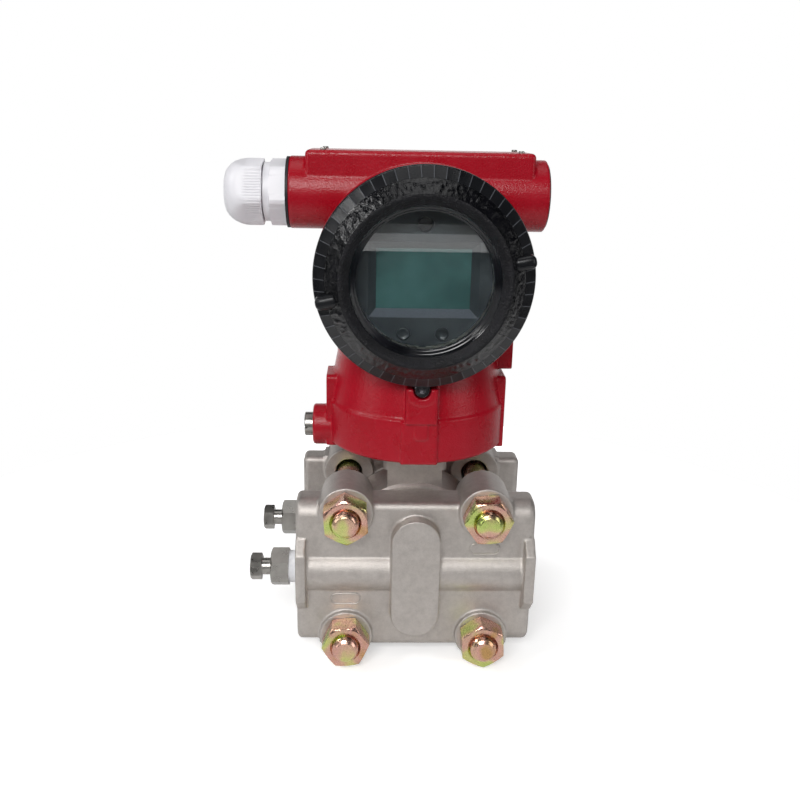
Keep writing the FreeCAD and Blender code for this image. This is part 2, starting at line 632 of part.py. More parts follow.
# ------------------------------------------------------------------------------- housing
def waist_blocks(sign):
    """The pad, the tab and the lock block on the waist, below one cover."""
    def slab(half, reach, low, high, shift="0"):
        start = "-(%s)" % reach if sign == "-" else "ring_flat - 12"
        return block(("(%s) * 2" % half, "%s - ring_flat + 12" % reach, "%s - (%s)" % (high, low)),
                     ("%s - (%s)" % (shift, half), start, low))

    low, top = number("tab_bottom"), "axis_height - lock_block_drop"
    tab = slab("tab_width / 2", "tab_reach", "tab_bottom", "ring_top", "lock_shift")
    tab = rounded(tab, "tab_width * 0.3", lambda e: runs_along(e, "y", z=low))
    lock = slab("lock_width / 2", "lock_reach", "front_pad_top", top, "lock_shift")
    lock = rounded(lock, "tab_width / 5", lambda e: runs_along(e, "z"))
    face = slab("lock_width / 2 - 1", "lock_reach + lock_boss_proud", "front_pad_top + 0.5", top,
                "lock_shift")
    boss = cylinder("lock_boss", "lock_reach + 1", ("lock_shift", 0, LOCK_HEIGHT), "-Y" if sign else "Y")
    plate = slab("front_pad_width / 2", "front_pad_reach", "ring_bottom", "front_pad_top")
    plate = rounded(plate, "tab_width / 4", lambda e: runs_along(e, "z"))
    return [tab, lock, common(face, boss), plate]


def side_pad(reach, sign):
    """The raised pad on one side of the waist."""
    start = "ring_flat - 6" if sign == "" else "-" + reach
    slab = block((reach + " - ring_flat + 6", "side_pad_width", "side_pad_top - side_pad_bottom"),
                 (start, "side_pad_middle - side_pad_width / 2", "side_pad_bottom"))
    top = number("side_pad_top")
    return rounded(slab, "side_pad_round", lambda e: runs_along(e, "x", z=top))


def barrel_outside():
    """The barrel with its two lips, before anything is bored out of it."""
    axis, rim = "axis_height", number("lip_radius")
    solids = [cylinder("barrel_radius", "barrel_half * 2", (0, "-barrel_half", axis), "Y")]
    for start in ("-barrel_half", "barrel_half - lip_length"):
        lip = cylinder("lip_radius", "lip_length", (0, start, axis), "Y")
        solids.append(chamfered(lip, "conduit_edge", lambda e: is_circle(e, rim)))
    return solids


def housing():
    """The upper half of the housing casting: the barrel, its conduits and the block on top."""
    axis = "axis_height"
    ends = number("conduit_radius")
    solids = barrel_outside()
    conduit = cylinder("conduit_radius", "conduit_left + conduit_right",
                       ("-conduit_left", 0, "conduit_height"), "X")
    solids.append(chamfered(conduit, "conduit_edge / 2", lambda e: is_circle(e, ends)))
    top = block(("block_left + block_right", "block_depth", "block_top - conduit_height"),
                ("-block_left", "-block_depth / 2", "conduit_height"))
    solids.append(rounded(top, "conduit_edge * 2", lambda e: runs_along(e, "z") or
                          e.BoundBox.ZMin > number("block_top") - 1e-4))
    bores = [
        cylinder("chamber_bore", "barrel_half - bulkhead_front + 1", (0, "-barrel_half - 1", axis), "Y"),
        cylinder("chamber_bore", "barrel_half + bulkhead_front - bulkhead + 1",
                 (0, "-bulkhead_front + bulkhead", axis), "Y"),
        cylinder("cable_hole", "chamber_bore / 2", (0, "cable_hole * 0.8", "axis_height - chamber_bore - 7")),
        cylinder("conduit_bore", "conduit_left - conduit_wall + 16",
                 ("-conduit_left - 1", 0, "conduit_height"), "X"),
        cylinder("conduit_bore", "conduit_right - conduit_wall + 16",
                 ("conduit_right + 1", 0, "conduit_height"), "-X"),
        cylinder("feed_radius", "bulkhead + 2", (0, "-bulkhead_front - 1", "axis_height - feed_drop"), "Y"),
    ]
    for x in ("-", ""):
        for y in ("-", ""):
            at = (x + "rivet_span_x / 2", y + "rivet_span_y / 2", "block_top + 1")
            bores.append(cylinder("rivet_radius / 2 + slack", "4", at, "-Z"))
    return finish(cut(fuse(*solids), *bores), "housing")


def housing_waist():
    """The lower half of the casting: the waist under the barrel, its ring, pads and bosses."""
    side = "side_pad_middle - 1"
    solids = [
        cylinder("waist_radius", "axis_height - chamber_bore / 2 - ring_top", (0, 0, "ring_top")),
        cone("flare_radius", "waist_radius", "flare_top - ring_top", (0, 0, "ring_top")),
    ]
    drum = cylinder("ring_radius", "ring_top - ring_bottom", (0, 0, "ring_bottom"))
    drum = chamfered(drum, "conduit_edge", lambda e: is_circle(e, number("ring_radius")))
    flats = block(("ring_flat * 2", "ring_radius * 2 + 2", "ring_top - ring_bottom"),
                  ("-ring_flat", "-ring_radius - 1", "ring_bottom"))
    solids.append(common(drum, flats))
    for sign, reach in (("-", "pad_left"), ("", "pad_right")):
        solids.extend(waist_blocks(sign))
        solids.append(side_pad(reach, sign))
    boss = cylinder("zero_boss_radius", "zero_boss_reach - ring_flat + 6",
                    ("-zero_boss_reach", side, "zero_middle"), "X")
    edge_at = number("-zero_boss_reach")
    solids.append(chamfered(boss, "conduit_edge * 0.8",
                            lambda e: is_circle(e, number("zero_boss_radius"), x=edge_at)))
    earth = block(("earth_reach - 24", "earth_width", "earth_top - earth_bottom"),
                  ("24", "-earth_width / 2", "earth_bottom"))
    solids.append(rounded(earth, "conduit_edge", lambda e: runs_along(e, "x")))

    bores = barrel_outside() + [
        cylinder("waist_bore", "axis_height - ring_bottom - floor", (0, 0, "ring_bottom + floor")),
        cylinder("neck_radius + running", "floor + 2", (0, 0, "ring_bottom - 1")),
        cylinder("zero_radius + running", "zero_depth + 1",
                 ("-zero_boss_reach - 1", side, "zero_middle"), "X"),
        cylinder("grub_radius + slack", "pad_right - neck_radius + 2",
                 ("neck_radius - 1", 0, "grub_height"), "X"),
        cylinder("earth_screw_radius / 2 + slack", "8",
                 (EARTH_ROW, "earth_width / 2 + 1", EARTH_HEIGHT), "-Y"),
    ]
    for sign, axis_out, axis_in in (("-", "-Y", "Y"), ("", "Y", "-Y")):
        bottom = "%s(lock_head_front - lock_head_length - slack)" % sign
        bores.append(cylinder("lock_pocket", "lock_reach", ("lock_shift", bottom, LOCK_HEIGHT), axis_out))
        mouth = "%s(lock_head_front - lock_head_length + 1)" % sign
        bores.append(cylinder("lock_shank_radius + running", "lock_shank + 2",
                              ("lock_shift", mouth, LOCK_HEIGHT), axis_in))
        cover_room = (0, "%sbarrel_half" % sign, "axis_height")
        bores.append(cylinder("lip_radius + air", "rim_front - barrel_half", cover_room, axis_out))
    return finish(cut(fuse(*solids), *bores), "housing_waist")


# -------------------------------------------------------------------------------- covers
def about_barrel(thing, turn):
    """A piece built on the world's own axes, turned and lifted onto the barrel's axis."""
    made = doc.addObject("Part::Compound", "Turned")
    made.Links = [thing]
    angle = number(turn)
    made.Placement = Placement(Vector(0, 0, 0), Rotation(Vector(0, -1, 0), angle))
    made.setExpression("Placement.Base.z", bound("axis_height"))
    return made


def cover(label, sign, closed):
    """One screwed cover: skirt, rim, faceted grip, plain ring and either a window or a cap."""
    axis = "axis_height"

    def out(formula):
        return "%s(%s)" % (sign, formula)

    inner = "chamber_bore - running - skirt_wall"
    points = [
        (inner, out("barrel_half + cover_gap - skirt_length")),
        ("chamber_bore - running", out("barrel_half + cover_gap - skirt_length")),
        ("chamber_bore - running", out("barrel_half + cover_gap")),
        ("relief_radius", out("barrel_half + cover_gap")),
        ("relief_radius", out("rim_back")),
        ("rim_radius", out("rim_back")),
        ("rim_radius", out("rim_front")),
        ("grip_inner - slack", out("rim_front")),
        ("grip_inner - slack", out("rim_front + grip_depth")),
    ]
    if closed:
        crest = "rim_front + rear_crest_depth"
        points += [
            ("crest_radius", out(crest)), ("0", out(crest)), ("0", out(crest + " - cap_wall")),
            ("crest_radius - cap_wall", out(crest + " - cap_wall")), (inner, out("rim_front")),
        ]
    else:
        crest = "rim_front + crest_depth"
        seat = crest + " - bowl_depth - lip_wall"
        stop = seat + " - window_gasket - glass_thick - retainer_length"
        points += [
            ("crest_radius", out(crest)), ("crest_radius - crest_flat", out(crest)),
            ("window_radius", out(crest + " - bowl_depth")), ("window_radius", out(seat)),
            ("glass_radius + slack", out(seat)), ("glass_radius + slack", out(stop)),
            (inner, out(stop)),
        ]
    shell = doc.addObject("PartDesign::Body", "Shell")
    profile = new_sketch(shell, "XY_Plane", axis)
    outline(profile, points)
    revolve(shell, profile)

    rings = []
    for radius, reach in (("grip_outer", "rim_front"), ("grip_inner", "rim_front + grip_depth")):
        ring = doc.addObject("Part::RegularPolygon", "Ring")
        ring.setExpression("Circumradius", bound(radius))
        ring.setExpression("Polygon", bound("grip_count"))
        place(ring, (0, out(reach), axis), TURN["Y"])
        rings.append(ring)
    grip = doc.addObject("Part::Loft", "Grip")
    grip.Sections = rings
    grip.Solid = True
    grip.Ruled = True
    core = cylinder("grip_inner - 2", "grip_depth + 2", (0, out("rim_front - 1"), axis),
                    "-Y" if sign else "Y")
    parts = [shell, cut(grip, core)]
    for turn in ("bar_turn", "bar_turn + 180"):
        start = "-(rim_front + bar_reach)" if sign else "rim_front"
        bar = block(("bar_length", "bar_reach", "bar_width"),
                    ("bar_inner", start, "-bar_width / 2"))
        bar = rounded(bar, "bar_width * 0.3", lambda e: True)
        parts.append(about_barrel(bar, turn))
    groove = cut(
        cylinder("seal_radius + seal_width / 2 + running", "seal_height + 1",
                 (0, out("barrel_half + cover_gap - 1"), axis), "-Y" if sign else "Y"),
        cylinder("seal_radius - seal_width / 2 - running", "seal_height + 1",
                 (0, out("barrel_half + cover_gap - 1"), axis), "-Y" if sign else "Y"),
    )
    return finish(cut(fuse(*parts), groove), label)


def cover_seal(label, sign):
    """The square-section seal that rides in a cover's rear face."""
    at = (0, "%s(barrel_half + cover_gap)" % sign, "axis_height")
    ring = tube("seal_radius + seal_width / 2", "seal_radius - seal_width / 2",
                "seal_height - slack", at, "-Y" if sign else "Y")
    return finish(ring, label)


def window():
    """The glass with its gasket and the threaded retainer behind it."""
    seat = "-(rim_front + crest_depth - bowl_depth - lip_wall)"
    axis = "axis_height"
    finish(tube("glass_radius", "window_radius", "window_gasket", (0, seat, axis), "Y"), "window_gasket")
    face = seat + " + window_gasket"
    glass = cylinder("glass_radius", "glass_thick", (0, face, axis), "Y")
    radius = number("glass_radius")
    finish(chamfered(glass, "window_gasket / 2", lambda e: is_circle(e, radius)), "window_glass")
    ring = tube("glass_radius", "retainer_bore", "retainer_length", (0, face + " + glass_thick", axis), "Y")
    rear = face + " + glass_thick + retainer_length - 1.5"
    slots = [block(("3", "3", "glass_radius * 2"), ("-1.5", rear, "axis_height - glass_radius"))]
    finish(cut(ring, *slots), "glass_retainer")


# ------------------------------------------------------------------------ front electronics
def display_module():
    """The round display carrier with its bevelled opening, screw recess and key holes."""
    axis = "axis_height"
    middle = "axis_height + screen_middle"
    disc_body = cylinder("module_radius", "module_thick", (0, "-module_front", axis), "Y")
    radius, face = number("module_radius"), number("-module_front")
    disc_body = chamfered(disc_body, "bevel / 5", lambda e: is_circle(e, radius, y=face))
    mouth = doc.addObject("Part::Wedge", "Mouth")
    sides = {
        "Xmin": "-screen_width / 2 - bevel", "Xmax": "screen_width / 2 + bevel",
        "Zmin": "-screen_height / 2 - bevel", "Zmax": "screen_height / 2 + bevel",
        "X2min": "-screen_width / 2", "X2max": "screen_width / 2",
        "Z2min": "-screen_height / 2", "Z2max": "screen_height / 2",
        "Ymin": "0", "Ymax": "bevel",
    }
    for side, formula in sides.items():
        mouth.setExpression(side, bound(formula))
    place(mouth, (0, "-module_front", middle))
    seat = block(("screen_width", "screen_thick + bevel / 2", "screen_height"),
                 ("-screen_width / 2", "-module_front + bevel / 2", middle + " - screen_height / 2"))
    tools = [mouth, seat]
    screw = "axis_height + screw_rise"
    tools.append(cylinder("screw_pocket", "screw_head_height + 2", (0, "-module_front - 1", screw), "Y"))
    tools.append(cylinder("screw_shank + slack", "module_thick + 2", (0, "-module_front - 1", screw), "Y"))
    for side in ("-", ""):
        at = (side + "key_spread / 2", "-module_front - 1", "axis_height - key_drop")
        depth = "key_height - key_proud + key_travel + slack + 1"
        tools.append(cylinder("key_radius + running", depth, at, "Y"))
    finish(cut(disc_body, *tools), "display_module")

    glass = block(("screen_width", "screen_thick", "screen_height"),
                  ("-screen_width / 2", "-module_front + bevel", middle + " - screen_height / 2"))
    finish(glass, "display_screen")
    for side, label in (("-", "left_key"), ("", "right_key")):
        at = (side + "key_spread / 2", "-module_front - key_proud", "axis_height - key_drop")
        finish(cylinder("key_radius", "key_height", at, "Y"), label)
    head_back = "-module_front + screw_head_height + 1"
    head = cylinder("screw_head", "screw_head_height", (0, head_back, screw), "-Y")
    shank = cylinder("screw_shank", "module_thick - screw_head_height - 1", (0, head_back, screw), "Y")
    slot = block(("screw_head * 3", "1.2", "0.8"),
                 ("-screw_head * 1.5", "-module_front + 0.9", screw + " - 0.4"))
    finish(cut(fuse(head, shank), slot), "module_screw")


def post_spots():
    """The four post centres as pairs of formulas about the barrel's axis."""
    reach = "post_circle * 0.7071"
    return [(x + reach, "axis_height %s %s" % (z, reach)) for z in ("+", "-") for x in ("-", "")]


def front_boards():
    """The main board with its parts, on four posts behind the display module."""
    back = "-main_board_front"
    board = cylinder("main_board_radius", "board_thick", (0, back, "axis_height"), "Y")
    holes = [cylinder("post_radius + running", "board_thick + 2", (x, back + " - 1", z), "Y")
             for x, z in post_spots()]
    finish(cut(board, *holes), "main_board")
    posts = [cylinder("post_radius", "module_front - module_thick - bulkhead_front",
                      (x, "-bulkhead_front", z), "-Y") for x, z in post_spots()]
    group(posts, "module_posts")
    chips = []
    for x, z, wide, tall, high in ((-0.44, -0.22, 0.38, 0.38, 1.4), (0.12, 0.12, 0.28, 0.19, 1.1),
                                   (0.09, -0.44, 0.22, 0.22, 2.1), (-0.31, 0.37, 0.5, 0.16, 2.5)):
        across, rise, width, height = ("main_board_radius * %s" % share for share in (x, z, wide, tall))
        thick = "board_thick * %s" % high
        corner = (across, "%s - %s" % (back, thick), "axis_height + " + rise)
        chips.append(block((width, thick, height), corner))
    group(chips, "board_components")
    at = (0, "-bulkhead_front - 2", "axis_height - feed_drop")
    finish(cylinder("feed_radius", "bulkhead + 4", at, "Y"), "bulkhead_feedthrough")


# ------------------------------------------------------------------------- rear terminals
def terminals():
    """The terminal block in the rear compartment with its three screws."""
    face = "bulkhead - bulkhead_front + terminal_depth"
    base = block(("terminal_width", "terminal_depth", "terminal_height"),
                 ("-terminal_width / 2", "bulkhead - bulkhead_front", "axis_height - terminal_height / 2"))
    base = rounded(base, "bevel / 2", lambda e: runs_along(e, "y"))
    tools = []
    screws = []
    for row in ("-terminal_pitch", "0", "terminal_pitch"):
        top = "axis_height + terminal_height / 6"
        tools.append(cylinder("terminal_screw_radius + slack", "terminal_screw_height + 1.5",
                              (row, face + " + 1", top), "-Y"))
        tools.append(cylinder("screw_shank + slack", "terminal_depth * 0.7", (row, face, top), "-Y"))
        tools.append(block(("terminal_screw_radius * 2", "4", "terminal_height / 3"),
                           ("%s - terminal_screw_radius" % row, face + " - 3",
                            "axis_height - terminal_height / 2 - 1")))
        seat = face + " - 0.5"
        head = cylinder("terminal_screw_radius", "terminal_screw_height", (row, seat, top), "-Y")
        shank = cylinder("screw_shank", "terminal_depth * 0.6", (row, seat, top), "-Y")
        slot = block(("terminal_screw_radius * 3", "1.4", "1"),
                     ("%s - terminal_screw_radius * 1.5" % row, seat + " - 1", top + " - 0.5"))
        screws.append(cut(fuse(head, shank), slot))
    finish(cut(base, *tools), "terminal_block")
    group(screws, "terminal_screws")


# ------------------------------------------------------------------- cable entry and plug
def cable_gland():
    """The gland on the left conduit: gasket, body, rubber seal and domed nut."""
    z = "conduit_height"
    face = "-conduit_left"
    finish(tube("gland_gasket_radius", "conduit_bore", "gland_gasket", (face, 0, z), "-X"), "gland_gasket")
    hex_at = face + " - gland_gasket"
    collar_at = hex_at + " - gland_hex"
    sleeve_at = collar_at + " - gland_collar"
    flats = hex_blank("gland_flats", "gland_hex", (hex_at, 0, z), "-X", 8, 0.8)
    collar = cylinder("gland_collar_radius", "gland_collar", (collar_at, 0, z), "-X")
    sleeve = cylinder("gland_sleeve_radius", "gland_sleeve", (sleeve_at, 0, z), "-X")
    spigot = cylinder("conduit_bore - slack", "gland_spigot + gland_gasket", (hex_at, 0, z), "X")
    bore = cylinder("gland_bore", "conduit_left", (face + " + gland_spigot + 1", 0, z), "-X")
    finish(cut(fuse(flats, collar, sleeve, spigot), bore), "gland_body")

    tip = sleeve_at + " - gland_sleeve"
    seal = tube("gland_bore - running", "seal_bore", "seal_length", (tip, 0, z), "X")
    finish(seal, "gland_seal")

    start = sleeve_at + " - gland_nut_gap"
    blank = hexagon("gland_nut_flats", "gland_nut_length", (start, 0, z), "-X", 4)
    dome = cylinder("gland_nut_flats / sqrt(3)", "gland_nut_length", (start, 0, z), "-X")
    far = number(start + " - gland_nut_length")
    widest = number("gland_nut_flats / sqrt(3)")
    dome = rounded(dome, "gland_nut_round", lambda e: is_circle(e, widest, x=far))
    hollow = cylinder("gland_sleeve_radius + running", "gland_sleeve - gland_nut_gap + 1.3",
                      (start + " + 1", 0, z), "-X")
    hole = cylinder("gland_nut_hole", "gland_nut_length + 2", (start + " + 1", 0, z), "-X")
    finish(cut(common(blank, dome), hollow, hole), "gland_nut")


def blanking_plug():
    """The flat plug that closes the right conduit."""
    z = "conduit_height"
    flange_disc = cylinder("blank_radius", "blank_flange", ("conduit_right", 0, z), "X")
    inner = "conduit_right - blank_spigot"
    spigot = cylinder("conduit_bore - slack", "blank_spigot + blank_flange / 2", (inner, 0, z), "X")
    recess = cylinder("conduit_bore * 0.7", "blank_spigot - 0.5", (inner + " - 1", 0, z), "X")
    finish(cut(fuse(flange_disc, spigot), recess), "blanking_plug")


# --------------------------------------------------------------------------- small screws
def lock_screw(label, sign, axis_in):
    """The socket screw that holds a cover from turning."""
    face = "%s(lock_head_front)" % sign
    at_face = ("lock_shift", face, LOCK_HEIGHT)
    head = cylinder("lock_head_radius", "lock_head_length", at_face, axis_in)
    shank = cylinder("lock_shank_radius", "lock_head_length + lock_shank", at_face, axis_in)
    rim, at = number("lock_head_radius"), number(face)
    head = chamfered(head, "slack * 4", lambda e: is_circle(e, rim, y=at))
    socket = hexagon("lock_socket", "lock_head_length * 0.6", at_face, axis_in)
    finish(cut(fuse(head, shank), socket), label)


def small_screws():
    """The zero adjustment, the grub screw, the earth screw and the rivets."""
    row, z = "side_pad_middle - 1", "zero_middle"
    screw = cylinder("zero_radius", "zero_reach - zero_boss_reach + zero_depth - slack",
                     ("-zero_reach", row, z), "X")
    rim, at = number("zero_radius"), number("-zero_reach")
    screw = chamfered(screw, "slack * 4", lambda e: is_circle(e, rim, x=at))
    slot = block(("slot_depth + 1", "zero_radius * 3", "slot_width"),
                 ("-zero_reach - 1", "side_pad_middle - 1 - zero_radius * 1.5", z + " - slot_width / 2"))
    finish(cut(screw, slot), "zero_adjust_screw")

    grub = cylinder("grub_radius", "pad_right + grub_proud - neck_radius - air",
                    ("neck_radius + air", 0, "grub_height"), "X")
    socket = hexagon("grub_radius", "3", ("pad_right + grub_proud", 0, "grub_height"), "-X")
    finish(cut(grub, socket), "housing_lock_grub")

    face = "earth_width / 2"
    seat = face + " + earth_washer"
    finish(tube("earth_washer_radius", "earth_screw_radius / 2 + slack", "earth_washer",
                (EARTH_ROW, face, EARTH_HEIGHT), "Y"), "earth_washer")
    head = cylinder("earth_screw_radius", "earth_screw_head", (EARTH_ROW, seat, EARTH_HEIGHT), "Y")
    shank = cylinder("earth_screw_radius / 2", "earth_washer + 6.5", (EARTH_ROW, seat, EARTH_HEIGHT), "-Y")
    cross = block(("1", "1.4", "earth_screw_radius * 3"),
                  (EARTH_ROW + " - 0.5", seat + " + earth_screw_head - 1.2",
                   EARTH_HEIGHT + " - earth_screw_radius * 1.5"))
    finish(cut(fuse(head, shank), cross), "earth_screw")

    made = []
    for x in ("-", ""):
        for y in ("-", ""):
            at = (x + "rivet_span_x / 2", y + "rivet_span_y / 2", "block_top")
            head = cylinder("rivet_radius", "rivet_height", at)
            rim, top = number("rivet_radius"), number("block_top + rivet_height")
            head = rounded(head, "rivet_height / 2", lambda e: is_circle(e, rim, z=top))
            made.append(fuse(head, cylinder("rivet_radius / 2", "2.5", at, "-Z")))
    group(made, "rivets")


# ------------------------------------------------------------------------------ assembly
def build():
    """Every piece, from the flanges up."""
    flange("front_flange", False)
    flange("rear_flange", True)
    gasket("front_flange_gasket", "-Y")
    gasket("rear_flange_gasket", "Y")
    flange_bolts()
    flange_nuts()
    vent("front", "-port_pitch / 2")
    vent("rear", "port_pitch / 2")
    thread_tape()
    capsule()
    diaphragm("front_diaphragm", "front")
    diaphragm("rear_diaphragm", "rear")
    neck_parts()
    housing()
    housing_waist()
    cover("front_cover", "-", False)
    cover("rear_cover", "", True)
    cover_seal("front_cover_seal", "-")
    cover_seal("rear_cover_seal", "")
    window()
    display_module()
    front_boards()
    terminals()
    cable_gland()
    blanking_plug()
    lock_screw("front_lock_screw", "-", "Y")
    lock_screw("rear_lock_screw", "", "-Y")
    small_screws()
    doc.recompute()


def check():
    """Stop if any object is in error or any piece is empty or broken."""
    for thing in doc.Objects:
        if {"Invalid", "Error"} & set(thing.State):
            raise ValueError("%s (%s) is %s" % (thing.Name, thing.Label, thing.State))
    for piece in pieces:
        shape = piece.Shape
        if shape.isNull() or not shape.isValid() or not shape.Solids:
            raise ValueError("%s is not a sound solid" % piece.Label)


def export():
    """Write each piece to a file named after it."""
    os.makedirs("parts", exist_ok=True)
    for piece in pieces:
        piece.Shape.exportStep(os.path.join("parts", piece.Label + ".step"))


build()
check()
export()
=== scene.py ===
"""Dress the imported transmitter: finishes, cast surfaces, fine parts, studio and camera."""

import logging
import math
from dataclasses import dataclass, replace
from enum import Enum, IntEnum

import bmesh
import bpy
from mathutils import Matrix, Vector, noise


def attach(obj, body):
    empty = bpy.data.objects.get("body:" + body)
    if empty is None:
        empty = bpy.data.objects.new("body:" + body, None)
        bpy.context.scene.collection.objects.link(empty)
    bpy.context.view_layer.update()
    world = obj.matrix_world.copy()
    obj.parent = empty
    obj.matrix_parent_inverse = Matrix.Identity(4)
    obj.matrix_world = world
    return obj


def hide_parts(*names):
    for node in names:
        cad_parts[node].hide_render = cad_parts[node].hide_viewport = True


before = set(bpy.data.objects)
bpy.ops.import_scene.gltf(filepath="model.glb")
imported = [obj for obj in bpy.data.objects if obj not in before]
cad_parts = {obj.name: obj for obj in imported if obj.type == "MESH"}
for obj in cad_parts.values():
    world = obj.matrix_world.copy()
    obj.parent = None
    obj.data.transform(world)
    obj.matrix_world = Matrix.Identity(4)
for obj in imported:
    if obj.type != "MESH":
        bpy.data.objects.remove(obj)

LOG = logging.getLogger("transmitter")
Socket = bpy.types.NodeSocket
MM = 0.001
WELD_MM = 0.001
# In millimetres: the point between the four bolts, and the barrel's middle measured from it.
ORIGIN = Vector((14.95, 0.85, 43.2))
BARREL = Vector((0.0, 0.0, 138.0))


# ----------------------------------------------------------------------------- colours
def linear(code: str) -> tuple[float, float, float, float]:
    """Turn an sRGB hex code into a linear colour.

    Args:
        code: Six hex digits, with or without a leading hash.

    Returns:
        Red, green, blue and an alpha of one, as Blender's sockets take them.
    """
    digits = code.lstrip("#")
    values = [int(digits[i : i + 2], 16) / 255 for i in (0, 2, 4)]
    flat = [v / 12.92 if v <= 0.04045 else ((v + 0.055) / 1.055) ** 2.4 for v in values]
    return (flat[0], flat[1], flat[2], 1.0)


class Grain(Enum):
    """The kind of fine surface that a finish has."""

    ORANGE_PEEL = "orange_peel"
    BLASTED = "blasted"
    MOULDED = "moulded"
    TURNED = "turned"
    SPARKLE = "sparkle"
    RIPPLE = "ripple"
    PLATED = "plated"
    PLAIN = "plain"


@dataclass(frozen=True)
class Finish:
    """One real finish: its colour, how it varies, its gloss and its grain.

    Where it has middle colours, each with its place on the ramp, it shows wide clear patches.
    """

    name: str
    colour: str
    second: str
    metallic: float
    roughness: tuple[float, float]
    grain: Grain
    grain_mm: float = 0.6
    bump_mm: float = 0.02
    patch_mm: float = 9.0
    specular: float = 0.5
    middle: tuple[tuple[float, str], ...] = ()


class Finishes:
    """Every finish on the object, each with what it gives the eye."""

    # Glossy baked coat: deep red with broad highlights, broken by a fine speckle.
    RED_PAINT = Finish("gloss_red_powder_coat", "#9c081b", "#a20b20", 0.0, (0.24, 0.32),
                       Grain.SPARKLE, 0.6, 0.075, 14.0, 0.35)
    # The same coat in black on the grip: a soft sheen with orange peel.
    BLACK_PAINT = Finish("satin_black_powder_coat", "#101114", "#17181b", 0.0, (0.26, 0.36),
                         Grain.ORANGE_PEEL, 0.6, 0.06, 12.0, 0.35)
    # A thick coat over the rough casting: wet, crawling glints.
    BLACK_RING = Finish("wet_black_powder_coat", "#08090b", "#0e0e12", 0.0, (0.10, 0.16),
                        Grain.RIPPLE, 0.7, 0.12, 6.0)
    # A textured coat in the bowl: dull black with sparkling grit.
    BLACK_BOWL = Finish("textured_black_powder_coat", "#101013", "#17171b", 0.0, (0.4, 0.55),
                        Grain.SPARKLE, 0.7, 0.3, 6.0, 0.25)
    # Machined steps round the window: thin bright rings.
    BLACK_LIP = Finish("polished_black_lip", "#0c0d10", "#131318", 0.0, (0.14, 0.2), Grain.PLAIN)
    # Painted highlight: the grip's seams take a lighter grey, standing in for the glints that run
    # along them.
    SEAM_HIGHLIGHT_PAINT = Finish("painted_seam_highlight_grey", "#3e4045", "#4d4f54", 0.0, (0.35, 0.45), Grain.PLAIN)
    # A blasted casting: warm matt grey, a little cloudy.
    STAINLESS = Finish("bead_blasted_stainless", "#b7b1ac", "#c9c3be", 0.85, (0.46, 0.56),
                       Grain.BLASTED, 0.6, 0.14, 3.5)
    # Turned and milled: brighter than the casting, with tight highlights.
    TURNED_STEEL = Finish("turned_stainless", "#9c9994", "#b0ada8", 1.0, (0.24, 0.36),
                          Grain.TURNED, 0.25, 0.01, 5.0)
    # Blackened screws: dark with sharp glints.
    DARK_STEEL = Finish("blackened_steel", "#8a898d", "#9a989c", 1.0, (0.14, 0.22),
                        Grain.TURNED, 0.25, 0.01, 3.0)
    # Passivated zinc: pink gold and green in patches as wide as a nut's flat.
    ZINC = Finish("yellow_passivated_zinc", "#c6d67c", "#c9a06a", 1.0, (0.2, 0.34),
                  Grain.PLATED, 0.5, 0.012, 11.0,
                  middle=((0.42, "#d6d08c"), (0.49, "#dcb79c"), (0.60, "#dcab9e")))
    # Moulded nylon: clean cool white with a soft sheen.
    NYLON = Finish("white_moulded_nylon", "#dfdee3", "#e7e6ea", 0.0, (0.34, 0.46),
                   Grain.MOULDED, 0.5, 0.012, 12.0)
    # Moulded rubber: dull black without clear highlights.
    RUBBER = Finish("black_nitrile_rubber", "#121317", "#1b1c21", 0.0, (0.5, 0.66),
                    Grain.MOULDED, 0.4, 0.02, 5.0)
    # Wound tape: soft, slightly uneven white.
    PTFE = Finish("ptfe_tape", "#e8e8ea", "#d9dade", 0.0, (0.5, 0.62),
                  Grain.MOULDED, 0.6, 0.05, 3.0)
    # Fine moulded polycarbonate: nearly black behind the window.
    MODULE = Finish("dark_moulded_polycarbonate", "#272b2e", "#2e3336", 0.0, (0.30, 0.42),
                    Grain.MOULDED, 0.3, 0.015, 9.0)
    # Soft keys: as dark as the module and a little smoother.
    KEYS = Finish("dark_rubber_keys", "#202427", "#282c30", 0.0, (0.34, 0.44),
                  Grain.MOULDED, 0.3, 0.01, 6.0)
    # A panel that is switched off: flat grey green.
    SCREEN = Finish("liquid_crystal_panel", "#2e4847", "#375554", 0.0, (0.16, 0.22),
                    Grain.PLAIN, patch_mm=18.0)
    # Solder mask: smooth dark green.
    BOARD = Finish("green_solder_mask", "#0f4a2c", "#155a36", 0.0, (0.3, 0.42), Grain.MOULDED)
    # Moulded epoxy: flat black.
    CHIP = Finish("black_epoxy", "#17181a", "#1f2022", 0.0, (0.5, 0.6), Grain.MOULDED)
    # Moulded nylon: flat black with a faint sheen.
    PLUG = Finish("black_moulded_nylon", "#1a1a1c", "#212124", 0.0, (0.4, 0.5), Grain.MOULDED)


# The textured sill under the screen, on the same moulding as the module: its upward faces are
# painted a lighter grey, a painted highlight from the light above.
SILL_PAINTED_LIGHT_GREYS = ("#3e4148", "#484c53")
SILL_GRAIN_MM = 0.5

